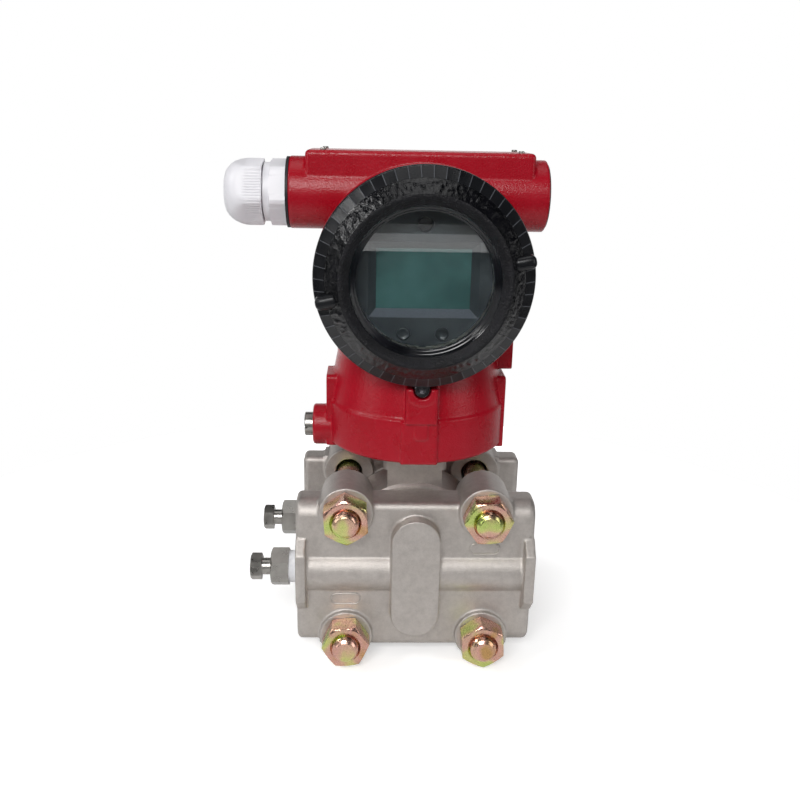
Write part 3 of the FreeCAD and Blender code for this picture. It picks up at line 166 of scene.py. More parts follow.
NODE_FINISH = {
    node: finish
    for finish, nodes in (
        (Finishes.STAINLESS, ("front_flange", "rear_flange", "sensor_capsule")),
        (Finishes.PTFE, ("front_flange_gasket", "rear_flange_gasket", "thread_tape",
                         "bulkhead_feedthrough")),
        (Finishes.ZINC, ("flange_bolts", "flange_nuts")),
        (Finishes.TURNED_STEEL, ("front_vent_plug", "rear_vent_plug", "front_bleed_screw",
                                 "rear_bleed_screw", "front_diaphragm", "rear_diaphragm",
                                 "glass_retainer", "module_posts", "terminal_screws",
                                 "zero_adjust_screw", "housing_lock_grub", "earth_washer",
                                 "earth_screw", "rivets")),
        (Finishes.DARK_STEEL, ("front_lock_screw", "rear_lock_screw")),
        (Finishes.RUBBER, ("neck_seal", "front_cover_seal", "rear_cover_seal", "window_gasket",
                           "gland_gasket", "gland_seal")),
        (Finishes.RED_PAINT, ("housing", "housing_waist")),
        (Finishes.BLACK_PAINT, ("front_cover", "rear_cover")),
        (Finishes.SCREEN, ("display_screen",)),
        (Finishes.KEYS, ("left_key", "right_key")),
        (Finishes.PLUG, ("module_screw", "blanking_plug")),
        (Finishes.BOARD, ("main_board",)),
        (Finishes.CHIP, ("sensor_connector", "board_components", "terminal_block")),
        (Finishes.NYLON, ("gland_body", "gland_nut")),
    )
    for node in nodes
}


# --------------------------------------------------------------------------- materials
class Tree:
    """A node tree under construction."""

    def __init__(self, owner: bpy.types.ID) -> None:
        """Start with an empty tree.

        Args:
            owner: The material or world that holds it.
        """
        owner.use_nodes = True
        self.tree = owner.node_tree
        self.tree.nodes.clear()

    def node(self, kind: str, **settings: object) -> bpy.types.Node:
        """Add a node and set its plain attributes.

        Args:
            kind: The node's type name.
            **settings: Attributes set on the node.

        Returns:
            The new node.
        """
        made = self.tree.nodes.new(kind)
        for name, value in settings.items():
            setattr(made, name, value)
        return made

    def link(self, source: Socket, target: Socket) -> None:
        """Join two sockets.

        Args:
            source: An output socket.
            target: An input socket.
        """
        self.tree.links.new(source, target)

    def span(self, factor: Socket, low: float, high: float, start: float = 0.3,
             end: float = 0.7) -> Socket:
        """Stretch a factor between two numbers.

        Args:
            factor: The socket to stretch.
            low: The number at its start.
            high: The number at its end.
            start: The factor taken as the start.
            end: The factor taken as the end.

        Returns:
            The stretched socket.
        """
        made = self.node("ShaderNodeMapRange")
        ends = {"From Min": start, "From Max": end, "To Min": low, "To Max": high}
        for name, value in ends.items():
            made.inputs[name].default_value = value
        self.link(factor, made.inputs["Value"])
        return made.outputs["Result"]

    def maths(self, operation: str, first: Socket, second: Socket) -> Socket:
        """Join two numbers.

        Args:
            operation: The operation's name.
            first: The first number.
            second: The second number.

        Returns:
            The socket of the result.
        """
        made = self.node("ShaderNodeMath", operation=operation)
        self.link(first, made.inputs[0])
        self.link(second, made.inputs[1])
        return made.outputs["Value"]

    def mix(self, factor: Socket, first: Socket, second: Socket) -> Socket:
        """Blend two shaders.

        Args:
            factor: How much of the second shows.
            first: The shader at nought.
            second: The shader at one.

        Returns:
            The blended shader.
        """
        made = self.node("ShaderNodeMixShader")
        for source, target in zip((factor, first, second), made.inputs):
            self.link(source, target)
        return made.outputs["Shader"]


class Shader(Tree):
    """A node material under construction."""

    def __init__(self, name: str) -> None:
        """Start an empty material.

        Args:
            name: The material's name, after the real finish.
        """
        self.material = bpy.data.materials.new(name)
        super().__init__(self.material)
        self.output = self.node("ShaderNodeOutputMaterial")

    def show(self, source: Socket) -> bpy.types.Material:
        """Send a shader to the output and return the finished material."""
        self.link(source, self.output.inputs["Surface"])
        return self.material

    def place_mm(self) -> Socket:
        """Object coordinates in millimetres.

        Returns:
            The socket that carries the coordinates.
        """
        where = self.node("ShaderNodeTexCoord")
        scale = self.node("ShaderNodeMapping")
        scale.inputs["Scale"].default_value = [1 / MM] * 3
        self.link(where.outputs["Object"], scale.inputs["Vector"])
        return scale.outputs["Vector"]

    def noise(self, where: Socket, size_mm: float, detail: float = 3.0,
              rough: float = 0.5) -> Socket:
        """Soft noise with a feature size in millimetres.

        Args:
            where: The coordinate socket.
            size_mm: The size of one feature.
            detail: How many octaves.
            rough: How strong the finer octaves are.

        Returns:
            The factor socket.
        """
        made = self.node("ShaderNodeTexNoise")
        made.inputs["Scale"].default_value = 1 / size_mm
        made.inputs["Detail"].default_value = detail
        made.inputs["Roughness"].default_value = rough
        self.link(where, made.inputs["Vector"])
        return made.outputs["Fac"]

    def ramp(self, factor: Socket, stops: list[tuple[float, str]]) -> Socket:
        """A colour ramp.

        Args:
            factor: The socket that drives it.
            stops: Positions with their hex colours.

        Returns:
            The colour socket.
        """
        made = self.node("ShaderNodeValToRGB")
        ramp = made.color_ramp
        while len(ramp.elements) < len(stops):
            ramp.elements.new(0.5)
        for element, (position, colour) in zip(ramp.elements, stops):
            element.position = position
            element.color = linear(colour)
        self.link(factor, made.inputs["Fac"])
        return made.outputs["Color"]

    def patches(self, factor: Socket, first: str, second: str) -> Socket:
        """A soft change between two hex colours over the middle of a factor."""
        return self.ramp(factor, [(0.35, first), (0.65, second)])

    def bump(self, height: Socket, depth_mm: float) -> Socket:
        """A bump of a real depth.

        Args:
            height: The socket that gives the height from nought to one.
            depth_mm: The depth of the relief.

        Returns:
            The normal socket.
        """
        made = self.node("ShaderNodeBump")
        made.inputs["Distance"].default_value = depth_mm * MM
        made.inputs["Strength"].default_value = 1.0
        self.link(height, made.inputs["Height"])
        return made.outputs["Normal"]


_made: dict[str, bpy.types.Material] = {}
GRAIN_DETAIL = {Grain.ORANGE_PEEL: 1.5, Grain.BLASTED: 4.0, Grain.TURNED: 2.0}
RIPPLE_TWIST = 1.6
# How strong the fine part of a blasted casting's clouds is, and the size of marks on zinc.
CLOUDY = 0.78
MARK_MM = 1.2


def grain_height(shader: Shader, finish: Finish, where: Socket) -> Socket:
    """The height pattern for a finish's grain.

    Args:
        shader: The material that is being built.
        finish: The finish whose grain is wanted.
        where: The coordinate socket.

    Returns:
        A socket that gives the height.
    """
    if finish.grain is Grain.SPARKLE:
        cells = shader.node("ShaderNodeTexVoronoi")
        cells.inputs["Scale"].default_value = 1 / finish.grain_mm
        shader.link(where, cells.inputs["Vector"])
        return cells.outputs["Distance"]
    if finish.grain is Grain.RIPPLE:
        warped = shader.node("ShaderNodeTexNoise")
        warped.inputs["Scale"].default_value = 1 / finish.grain_mm
        warped.inputs["Detail"].default_value = 1.0
        warped.inputs["Distortion"].default_value = RIPPLE_TWIST
        shader.link(where, warped.inputs["Vector"])
        return warped.outputs["Fac"]
    return shader.noise(where, finish.grain_mm, GRAIN_DETAIL.get(finish.grain, 3.0))


def material(finish: Finish) -> bpy.types.Material:
    """The procedural material of a finish, made once.

    Args:
        finish: The finish wanted.

    Returns:
        Its material.
    """
    if finish.name in _made:
        return _made[finish.name]
    shader = Shader(finish.name)
    where = shader.place_mm()
    if finish.middle:
        stops = [(0.30, finish.colour), *finish.middle, (0.72, finish.second)]
        colour = shader.ramp(shader.noise(where, finish.patch_mm, 1.0, 0.4), stops)
        gloss = shader.noise(where, MARK_MM, 4.0, 0.6)
    else:
        harsh = CLOUDY if finish.grain is Grain.BLASTED else 0.5
        gloss = shader.noise(where, finish.patch_mm, 6.0, harsh)
        colour = shader.patches(gloss, finish.colour, finish.second)
    surface = shader.node("ShaderNodeBsdfPrincipled")
    shader.link(colour, surface.inputs["Base Color"])
    shader.link(shader.span(gloss, *finish.roughness), surface.inputs["Roughness"])
    surface.inputs["Metallic"].default_value = finish.metallic
    surface.inputs["Specular IOR Level"].default_value = finish.specular
    if finish.grain is not Grain.PLAIN:
        height = grain_height(shader, finish, where)
        shader.link(shader.bump(height, finish.bump_mm), surface.inputs["Normal"])
    _made[finish.name] = shader.show(surface.outputs["BSDF"])
    return shader.material


def module_material() -> bpy.types.Material:
    """Dark polycarbonate; faces turned upward, such as the sill under the screen, are painted a
    lighter textured grey as a painted highlight from above.

    Returns:
        The material.
    """
    finish = Finishes.MODULE
    shader = Shader(finish.name)
    where = shader.place_mm()
    facing = shader.node("ShaderNodeTexCoord")
    axes = shader.node("ShaderNodeSeparateXYZ")
    shader.link(facing.outputs["Normal"], axes.inputs[0])
    # Painted highlight: faces that point upward get the lighter grey, as if lit from above.
    painted_lit_upward = shader.span(axes.outputs["Z"], 0.0, 1.0, 0.3, 0.4)
    patches = shader.noise(where, finish.patch_mm, 4.0)
    plain = shader.patches(patches, finish.colour, finish.second)
    grey = shader.patches(shader.noise(where, SILL_GRAIN_MM), *SILL_PAINTED_LIGHT_GREYS)
    colour = shader.node("ShaderNodeMix", data_type="RGBA")
    shader.link(painted_lit_upward, colour.inputs["Factor"])
    shader.link(plain, colour.inputs[6])
    shader.link(grey, colour.inputs[7])
    surface = shader.node("ShaderNodeBsdfPrincipled")
    shader.link(colour.outputs[2], surface.inputs["Base Color"])
    shader.link(shader.span(patches, *finish.roughness), surface.inputs["Roughness"])
    grain = shader.noise(where, finish.grain_mm)
    shader.link(shader.bump(grain, finish.bump_mm), surface.inputs["Normal"])
    return shader.show(surface.outputs["BSDF"])


def glass_material() -> bpy.types.Material:
    """Thick toughened window glass.

    Returns:
        The material.
    """
    shader = Shader("toughened_window_glass")
    surface = shader.node("ShaderNodeBsdfPrincipled")
    surface.inputs["Base Color"].default_value = linear("#fbfdfd")
    surface.inputs["Transmission Weight"].default_value = 1.0
    surface.inputs["IOR"].default_value = 1.46
    surface.inputs["Roughness"].default_value = 0.0
    clear = shader.node("ShaderNodeBsdfTransparent")
    clear.inputs["Color"].default_value = linear("#eef4f4")
    path = shader.node("ShaderNodeLightPath")
    return shader.show(shader.mix(path.outputs["Is Shadow Ray"], surface.outputs["BSDF"],
                                  clear.outputs["BSDF"]))


def dress_frame() -> None:
    """Give every CAD node its procedural material."""
    special = {"window_glass": glass_material(), "display_module": module_material()}
    for name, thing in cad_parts.items():
        chosen = special.get(name) or material(NODE_FINISH[name])
        for slot in thing.material_slots:
            slot.material = chosen


# ------------------------------------------------------------------------------ pieces
def placed(name: str, data: bpy.types.ID) -> bpy.types.Object:
    """Put a new object into the scene.

    Args:
        name: The object's name.
        data: What it shows.

    Returns:
        The object.
    """
    made = bpy.data.objects.new(name, data)
    bpy.context.scene.collection.objects.link(made)
    return made


def evaluated(thing: bpy.types.Object, name: str) -> bpy.types.Object:
    """A plain mesh object from one with modifiers, which is then removed.

    Args:
        thing: The object whose result is wanted.
        name: The new object's name.

    Returns:
        The new object, with no modifiers.
    """
    graph = bpy.context.evaluated_depsgraph_get()
    mesh = bpy.data.meshes.new_from_object(thing.evaluated_get(graph))
    old = thing.data
    bpy.data.objects.remove(thing)
    if old.users == 0:
        bpy.data.meshes.remove(old)
    mesh.name = name
    return placed(name, mesh)


def set_material(thing: bpy.types.Object, chosen: bpy.types.Material) -> None:
    """Put one material on a whole object.

    Args:
        thing: The object.
        chosen: The material.
    """
    thing.data.materials.clear()
    thing.data.materials.append(chosen)


def show_for(made: bpy.types.Object, body: str, *nodes: str) -> bpy.types.Object:
    """Let a piece ride on a body and stand for CAD nodes.

    Args:
        made: The piece.
        body: The body that it moves with.
        *nodes: The nodes that it stands for.

    Returns:
        The same piece.
    """
    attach(made, body)
    if nodes:
        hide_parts(*nodes)
    LOG.info("%s has %d faces", made.name, len(made.data.polygons))
    return made


@dataclass(frozen=True)
class Casting:
    """A cast or moulded piece whose edges and inner corners are softly rounded."""

    nodes: tuple[str, ...]
    body: str
    voxel_mm: float
    passes: int
    finish: Finish
    keep: float = 1.0

    def build(self) -> bpy.types.Object:
        """Round the solids of some nodes as one and show the result in their place.

        Returns:
            The finished piece.
        """
        name = self.nodes[0]
        joined = bmesh.new()
        for node in self.nodes:
            joined.from_mesh(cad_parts[node].data)
        bmesh.ops.remove_doubles(joined, verts=joined.verts, dist=2 * WELD_MM * MM)
        base = settle(joined, name + "_work")
        remesh = base.modifiers.new("Voxels", "REMESH")
        remesh.mode = "VOXEL"
        remesh.voxel_size = self.voxel_mm * MM
        soften = base.modifiers.new("Soften", "SMOOTH")
        soften.factor = 0.5
        soften.iterations = self.passes
        if self.keep < 1.0:
            thin = base.modifiers.new("Thin", "DECIMATE")
            thin.ratio = self.keep
        made = evaluated(base, name + "_skin")
        made.data.shade_smooth()
        set_material(made, material(self.finish))
        return show_for(made, self.body, *self.nodes)


CASTINGS = (
    Casting(("housing", "housing_waist"), "housing", 0.5, 1, Finishes.RED_PAINT, 0.28),
    Casting(("front_flange",), "sensor", 0.55, 2, Finishes.STAINLESS, 0.55),
    Casting(("rear_flange",), "sensor", 0.55, 2, Finishes.STAINLESS, 0.55),
)


class Reach(Enum):
    """How the radius of a turned row changes round its axis."""

    ROUND = "round"
    GRIP = "grip"
    HEX = "hex"
    RIB = "rib"
    THREAD = "thread"


class Slot(IntEnum):
    """The finishes of a cover's skin, in slot order."""

    PAINT = 0
    RING = 1
    BOWL = 2
    SEAM = 3
    LIP = 4


@dataclass(frozen=True)
class Point:
    """One point of a turned outline, in millimetres."""

    radius: float
    along: float
    ease: float = 0.0
    slot: Slot = Slot.PAINT
    reach: Reach = Reach.ROUND


EASE_STEPS = (0.0, 0.33, 0.67, 1.0)


def eased(points: list[Point], loop: bool) -> list[Point]:
    """Round the corners of an outline.

    Args:
        points: The outline, with an ease at each corner.
        loop: Whether the last point joins the first.

    Returns:
        The outline with each eased corner as a short arc.
    """
    made: list[Point] = []
    count = len(points)
    for i, point in enumerate(points):
        if point.ease <= 0 or (not loop and i in (0, count - 1)):
            made.append(point)
            continue
        here = Vector((point.radius, point.along))
        before, after = points[i - 1], points[(i + 1) % count]
        start = here + (Vector((before.radius, before.along)) - here).normalized() * point.ease
        end = here + (Vector((after.radius, after.along)) - here).normalized() * point.ease
        for step in EASE_STEPS:
            spot = start.lerp(here, step).lerp(here.lerp(end, step), step)
            made.append(replace(point, radius=spot.x, along=spot.y, ease=0.0))
    return made


# What a turned row can carry, in millimetres and degrees.
FACETS = 54
FLUTE_DEPTH = 0.2
SEAM_RISE, SEAM_HALF = 0.16, 0.25
RIB_DEPTH, RIB_STEP = 0.3, 5
THREAD_DEPTH, THREAD_PITCH = 0.55, 1.75


@dataclass(frozen=True)
class Turning:
    """A shape turned about an axis along Y."""

    angles: tuple[float, ...]
    flats: float = 0.0

    def radius(self, point: Point, angle: float) -> float:
        """How far out a row lies at an angle.

        Args:
            point: The row.
            angle: The angle in degrees.

        Returns:
            The radius in millimetres.
        """
        if point.reach is Reach.HEX:
            local = (angle + 30.0) % 60.0 - 30.0
            return min(point.radius, self.flats / 2 / math.cos(math.radians(30.0 - abs(local))))
        if point.reach is Reach.RIB:
            flat = self.radius(replace(point, reach=Reach.HEX), angle)
            return flat - (RIB_DEPTH if int(angle) % RIB_STEP == 0 else 0.0)
        if point.reach is Reach.GRIP:
            period = 360.0 / FACETS
            local = (angle % period) / period
            edge = min(local, 1.0 - local) * period
            seam = SEAM_RISE if edge < SEAM_HALF else 0.0
            return point.radius + seam - FLUTE_DEPTH * math.sin(math.pi * local) ** 0.5
        if point.reach is Reach.THREAD:
            turn = (point.along / THREAD_PITCH + angle / 360.0) % 1.0
            return point.radius - THREAD_DEPTH * abs(2.0 * turn - 1.0)
        return point.radius

    def slot(self, point: Point, angle: float) -> int:
        """Which finish a face takes.

        Args:
            point: The row that the face starts at.
            angle: The angle in degrees of the column that it starts at.

        Returns:
            The finish's slot.
        """
        period = 360.0 / FACETS
        local = angle % period
        near = local < SEAM_HALF or local > period - SEAM_HALF
        return Slot.SEAM if point.reach is Reach.GRIP and near else point.slot

    def mesh(self, points: list[Point], loop: bool,
             centre: Vector = Vector()) -> bmesh.types.BMesh:
        """Turn an outline into a closed skin.

        Args:
            points: The outline.
            loop: Whether the last point joins the first.
            centre: A point on the axis, in millimetres.

        Returns:
            The skin as a bmesh, in metres.
        """
        made = bmesh.new()
        grid = []
        for angle in self.angles:
            turned = math.radians(angle)
            column = []
            for point in points:
                out = self.radius(point, angle) if point.radius > 0 else 0.0
                spot = Vector((out * math.cos(turned), point.along, out * math.sin(turned)))
                column.append(made.verts.new((spot + centre) * MM))
            grid.append(column)
        rows = len(points)
        for i, column in enumerate(grid):
            beside = grid[(i + 1) % len(grid)]
            for j in range(rows if loop else rows - 1):
                k = (j + 1) % rows
                face = made.faces.new((column[j], column[k], beside[k], beside[j]))
                face.material_index = self.slot(points[j], self.angles[i])
                face.smooth = True
        bmesh.ops.remove_doubles(made, verts=made.verts, dist=WELD_MM * MM)
        bmesh.ops.recalc_face_normals(made, faces=made.faces)
        return made


def crisp(made: bmesh.types.BMesh, angle: float) -> None:
    """Keep edges sharper than an angle crisp.

    Args:
        made: The mesh.
        angle: The angle in degrees.
    """
    for edge in made.edges:
        if len(edge.link_faces) == 2 and edge.calc_face_angle(0) > math.radians(angle):
            edge.smooth = False


def settle(made: bmesh.types.BMesh, name: str, *finishes: bpy.types.Material) -> bpy.types.Object:
    """Turn a bmesh into an object of the scene.

    Args:
        made: The mesh, which is freed.
        name: The object's name.
        *finishes: Its materials, in slot order.

    Returns:
        The object.
    """
    mesh = bpy.data.meshes.new(name)
    made.to_mesh(mesh)
    made.free()
    for chosen in finishes:
        mesh.materials.append(chosen)
    return placed(name, mesh)


# The covers, in millimetres: radius and distance from the barrel's middle.
GRIP_ROWS = ((44.35, 46.9, 0.25), (40.35, 50.9, 0.5))
RING_OUTER, RING_START = 39.9, 51.3
RING_WIDE, RING_DEEP, RING_ROWS = 5.3, 5.82, 16
FACET_MARKS = (0.0, 0.2, 0.3, 1.3, 2.4, 3.333, 4.27, 5.37, 6.367, 6.467)
RELIEF_INNER, RELIEF_WIDE, RELIEF_OUTER, RELIEF_START = 34.6, 5.25, 39.85, 51.0
STROKES_ROUND, STROKE_LONG, STROKE_LIFT, STROKE_SUNK = 37.0, 2.4, 0.6, -0.12
GRAINS_PER_MM, GRAIN_LIFT, RELIEF_EDGE = 1.6, 0.14, 0.7
# Outward from the ring's slope: away from the axis, and along it.
RING_OUT, RING_AHEAD = 0.74, 0.67
BAR_SIZE, BAR_ROUND, BAR_AT, BAR_TURNS = (9.6, 9.4, 5.6), 2.3, (39.6, 51.1), (12.0, 192.0)


@dataclass(frozen=True)
class Cover:
    """One screwed cover with its ribbed grip, plain ring, bowl or cap, and two bars."""

    node: str
    side: float
    closed: bool

    def outline(self) -> list[Point]:
        """The outline of the cover's wall.

        Returns:
            Its points, from the skirt round the outside to the inside.
        """
        skirt = [Point(35.24, 28.3, 0.3), Point(38.44, 28.3, 0.4), Point(38.44, 38.3),
                 Point(42.6, 38.3, 0.4), Point(42.6, 44.4, 0.3), Point(44.9, 44.4, 0.5),
                 Point(44.9, 46.2, 0.6)]
        skirt += [Point(*row, reach=Reach.GRIP) for row in GRIP_ROWS]
        skirt.append(Point(RING_OUTER, RING_START, 0.3, Slot.RING))
        if self.closed:
            return skirt + [Point(34.2, 55.0, 2.0, Slot.BOWL), Point(31.0, 55.0),
                            Point(20.0, 55.0), Point(0.0, 55.0), Point(0.0, 52.0),
                            Point(31.2, 52.0, 1.0), Point(35.24, 46.6, 0.6)]
        ring = [Point(RING_OUTER - RING_WIDE * i / RING_ROWS,
                      RING_START + RING_DEEP * i / RING_ROWS, slot=Slot.RING)
                for i in range(1, RING_ROWS + 1)]
        bowl = [Point(34.3, 57.45, 0.3, Slot.BOWL), Point(33.0, 57.45, 0.7, Slot.BOWL)]
        steps = ((30.0, 54.65), (29.4, 53.6), (28.7, 53.3), (28.2, 52.5), (27.6, 52.3))
        lip = [Point(*step, 0.3, Slot.LIP) for step in steps]
        seat = [Point(27.5, 50.9, 0.2), Point(31.1, 50.9), Point(31.1, 41.3), Point(35.24, 41.3)]
        return skirt + ring + bowl + lip + seat

    def cast_ring(self, made: bmesh.types.BMesh) -> None:
        """Raise the wet, worn cast relief on the plain ring.

        Args:
            made: The skin.
        """
        axis = BARREL + ORIGIN
        for vert in made.verts:
            spot = vert.co / MM - axis
            radius = math.hypot(spot.x, spot.z)
            if not (RELIEF_INNER < radius < RELIEF_OUTER and abs(spot.y) > RELIEF_START):
                continue
            angle = math.atan2(spot.z, spot.x)
            round_x, round_z = STROKES_ROUND * math.cos(angle), STROKES_ROUND * math.sin(angle)
            strokes = noise.noise(Vector((round_x, round_z, radius / STROKE_LONG)))
            grains = noise.noise(spot * GRAINS_PER_MM)
            level = math.sin(math.pi * (radius - RELIEF_INNER) / RELIEF_WIDE) ** RELIEF_EDGE
            lift = level * (STROKE_LIFT * max(strokes, STROKE_SUNK) + GRAIN_LIFT * grains)
            way = Vector((math.cos(angle) * RING_OUT, self.side * RING_AHEAD,
                          math.sin(angle) * RING_OUT))
            vert.co += way * lift * MM

    def bar(self, made: bmesh.types.BMesh, turn: float) -> None:
        """Add one rounded bar to the cover's skin.

        Args:
            made: The skin.
            turn: The bar's angle in degrees.
        """
        box = bmesh.ops.create_cube(made, size=1.0)["verts"]
        bmesh.ops.scale(made, vec=Vector(BAR_SIZE) * MM, verts=box)
        edges = {edge for vert in box for edge in vert.link_edges}
        result = bmesh.ops.bevel(made, geom=list(edges), offset=BAR_ROUND * MM, segments=5,
                                 profile=0.5, affect="EDGES")
        kept = {vert for vert in [*result["verts"], *box] if vert.is_valid}
        verts = list(kept | {vert for face in result["faces"] for vert in face.verts})
        middle = Vector((BAR_AT[0], self.side * BAR_AT[1], 0.0)) * MM
        spin = Matrix.Rotation(math.radians(-turn), 4, "Y")
        place = Matrix.Translation((BARREL + ORIGIN) * MM) @ spin @ Matrix.Translation(middle)
        bmesh.ops.transform(made, matrix=place, verts=verts)
        for face in result["faces"]:
            face.smooth = True

    def build(self) -> bpy.types.Object:
        """Build the cover and show it in the node's place.

        Returns:
            The finished piece.
        """
        period = 360.0 / FACETS
        angles = tuple(i * period + mark for i in range(FACETS) for mark in FACET_MARKS)
        flipped = [replace(p, along=p.along * self.side) for p in self.outline()]
        loop = not self.closed
        made = Turning(angles).mesh(eased(flipped, loop), loop, BARREL + ORIGIN)
        if not self.closed:
            self.cast_ring(made)
        for turn in BAR_TURNS:
            self.bar(made, turn)
        crisp(made, 38.0)
        # The fourth slot is the painted highlight on the seams of the grip.
        finishes = (Finishes.BLACK_PAINT, Finishes.BLACK_RING, Finishes.BLACK_BOWL,
                    Finishes.SEAM_HIGHLIGHT_PAINT, Finishes.BLACK_LIP)
        skin = settle(made, self.node + "_skin", *(material(f) for f in finishes))
        return show_for(skin, self.node, self.node)


COVERS = (Cover("front_cover", -1.0, False), Cover("rear_cover", 1.0, True))
GLASS_RADIUS, GLASS_FRONT, GLASS_BACK = 31.0, -50.25, -44.35
KEY_PLACES = (("left_key", -8.0), ("right_key", 8.0))
KEY_DROP = -23.0


def window_glass() -> None:
    """The toughened glass, a hair clear of its gasket and retainer."""
    points = [Point(0.0, GLASS_FRONT), Point(15.0, GLASS_FRONT),
              Point(GLASS_RADIUS - 0.3, GLASS_FRONT, 0.25), Point(GLASS_RADIUS, GLASS_FRONT + 0.3),
              Point(GLASS_RADIUS, GLASS_BACK), Point(15.0, GLASS_BACK), Point(0.0, GLASS_BACK)]
    angles = tuple(i * 2.0 for i in range(180))
    made = Turning(angles).mesh(eased(points, False), False, BARREL + ORIGIN)
    for face in made.faces:
        face.smooth = False
    show_for(settle(made, "window_pane", glass_material()), "front_cover", "window_glass")


def keys() -> None:
    """The two rubber keys with a raised rim and a shallow dish."""
    points = [Point(0.0, -40.75), Point(1.7, -40.78), Point(2.1, -41.1, 0.1),
              Point(2.5, -41.1, 0.15), Point(2.9, -40.7, 0.1), Point(2.9, -38.1),
              Point(0.0, -38.1)]
    angles = tuple(i * 7.5 for i in range(48))
    for node, x in KEY_PLACES:
        centre = BARREL + ORIGIN + Vector((x, 0.0, KEY_DROP))
        made = Turning(angles).mesh(eased(points, False), False, centre)
        crisp(made, 50.0)
        show_for(settle(made, node + "_cap", material(Finishes.KEYS)), node, node)


@dataclass(frozen=True)
class Gland:
    """The white cable gland: a domed, ribbed nut over a body with a rounded hexagon."""

    flats: float = 25.9
    corner: float = 14.5
    turn: float = 13.0
    height: float = 168.0
    bore: float = 8.2

    def skin(self, name: str, points: list[Point]) -> bpy.types.Object:
        """Turn an outline along the conduit's axis.

        Args:
            name: The name of the piece.
            points: The outline, with its places along X.

        Returns:
            The piece.
        """
        angles = tuple(float(i) for i in range(360))
        made = Turning(angles, flats=self.flats).mesh(eased(points, True), True)
        spin = Matrix.Rotation(math.radians(self.turn), 4, "Y")
        spin = Matrix.Rotation(math.radians(-90.0), 4, "Z") @ spin
        move = Matrix.Translation((Vector((0.0, 0.0, self.height)) + ORIGIN) * MM)
        bmesh.ops.transform(made, matrix=move @ spin, verts=made.verts)
        crisp(made, 40.0)
        return settle(made, name, material(Finishes.NYLON))

    def build(self) -> None:
        """Build the nut and the body and show them in their nodes' places."""
        dome = ((7.7, -85.0), (9.1, -84.5), (10.4, -83.6), (11.7, -82.3), (12.8, -80.7),
                (13.7, -78.7), (14.3, -76.5))
        nut = [Point(7.2, -84.4, 0.2)] + [Point(*row, reach=Reach.HEX) for row in dome]
        nut += [Point(self.corner, x, reach=Reach.RIB) for x in (-74.9, -68.9)]
        nut += [Point(self.corner - 0.25, -68.4, reach=Reach.HEX), Point(11.2, -68.4, 0.3),
                Point(11.2, -80.0), Point(7.2, -82.0)]
        show_for(self.skin("gland_dome_nut", nut), "gland_nut", "gland_nut")
        body = [Point(self.bore, -77.0, 0.3), Point(10.8, -77.0, 0.4), Point(10.8, -67.9),
                Point(12.6, -67.9, 0.3), Point(12.6, -65.3), Point(13.3, -65.3, reach=Reach.HEX),
                *(Point(self.corner, x, reach=Reach.HEX) for x in (-64.9, -58.3)),
                Point(9.9, -58.3, 0.3), Point(9.9, -46.5, 0.5), Point(self.bore, -46.5, 0.3)]
        show_for(self.skin("gland_body_skin", body), "housing", "gland_body")


class CopyGroup:
    """A node group that sets a seed out on points, each turned by its own angle."""

    def __init__(self) -> None:
        """Build the group once."""
        self.tree = bpy.data.node_groups.new("set_out_copies", "GeometryNodeTree")
        face = self.tree.interface
        face.new_socket("Geometry", in_out="INPUT", socket_type="NodeSocketGeometry")
        seed = face.new_socket("Seed", in_out="INPUT", socket_type="NodeSocketObject")
        finish = face.new_socket("Finish", in_out="INPUT", socket_type="NodeSocketMaterial")
        self.seed, self.finish = seed.identifier, finish.identifier
        face.new_socket("Geometry", in_out="OUTPUT", socket_type="NodeSocketGeometry")
        nodes, links = self.tree.nodes, self.tree.links
        given, result = nodes.new("NodeGroupInput"), nodes.new("NodeGroupOutput")
        source = nodes.new("GeometryNodeObjectInfo")
        turn = nodes.new("GeometryNodeInputNamedAttribute")
        turn.data_type = "FLOAT"
        turn.inputs["Name"].default_value = "turn"
        spin = nodes.new("ShaderNodeCombineXYZ")
        copies = nodes.new("GeometryNodeInstanceOnPoints")
        real = nodes.new("GeometryNodeRealizeInstances")
        dress = nodes.new("GeometryNodeSetMaterial")
        for start, end in (
            (given.outputs["Seed"], source.inputs["Object"]),
            (turn.outputs["Attribute"], spin.inputs["Y"]),
            (given.outputs["Geometry"], copies.inputs["Points"]),
            (source.outputs["Geometry"], copies.inputs["Instance"]),
            (spin.outputs["Vector"], copies.inputs["Rotation"]),
            (copies.outputs["Instances"], real.inputs["Geometry"]),
            (real.outputs["Geometry"], dress.inputs["Geometry"]),
            (given.outputs["Finish"], dress.inputs["Material"]),
            (dress.outputs["Geometry"], result.inputs["Geometry"]),
        ):
            links.new(start, end)

    def set_out(self, name: str, seed: bpy.types.Object, spots: list[tuple[Vector, float]],
                chosen: bpy.types.Material) -> bpy.types.Object:
        """Copy a seed to several places.

        Args:
            name: The name of the result.
            seed: The object to copy, which is then removed.
            spots: Places in millimetres, each with a turn in degrees about Y.
            chosen: The material of every copy.

        Returns:
            One plain object that holds all the copies.
        """
        mesh = bpy.data.meshes.new(name + "_points")
        mesh.from_pydata([(place + ORIGIN) * MM for place, _ in spots], [], [])
        turns = mesh.attributes.new("turn", "FLOAT", "POINT")
        for i, (_, angle) in enumerate(spots):
            turns.data[i].value = math.radians(angle)
        base = placed(name + "_points", mesh)
        modifier = base.modifiers.new("Copies", "NODES")
        modifier.node_group = self.tree
        modifier[self.seed] = seed
        modifier[self.finish] = chosen
        made = evaluated(base, name)
        bpy.data.objects.remove(seed)
        return made


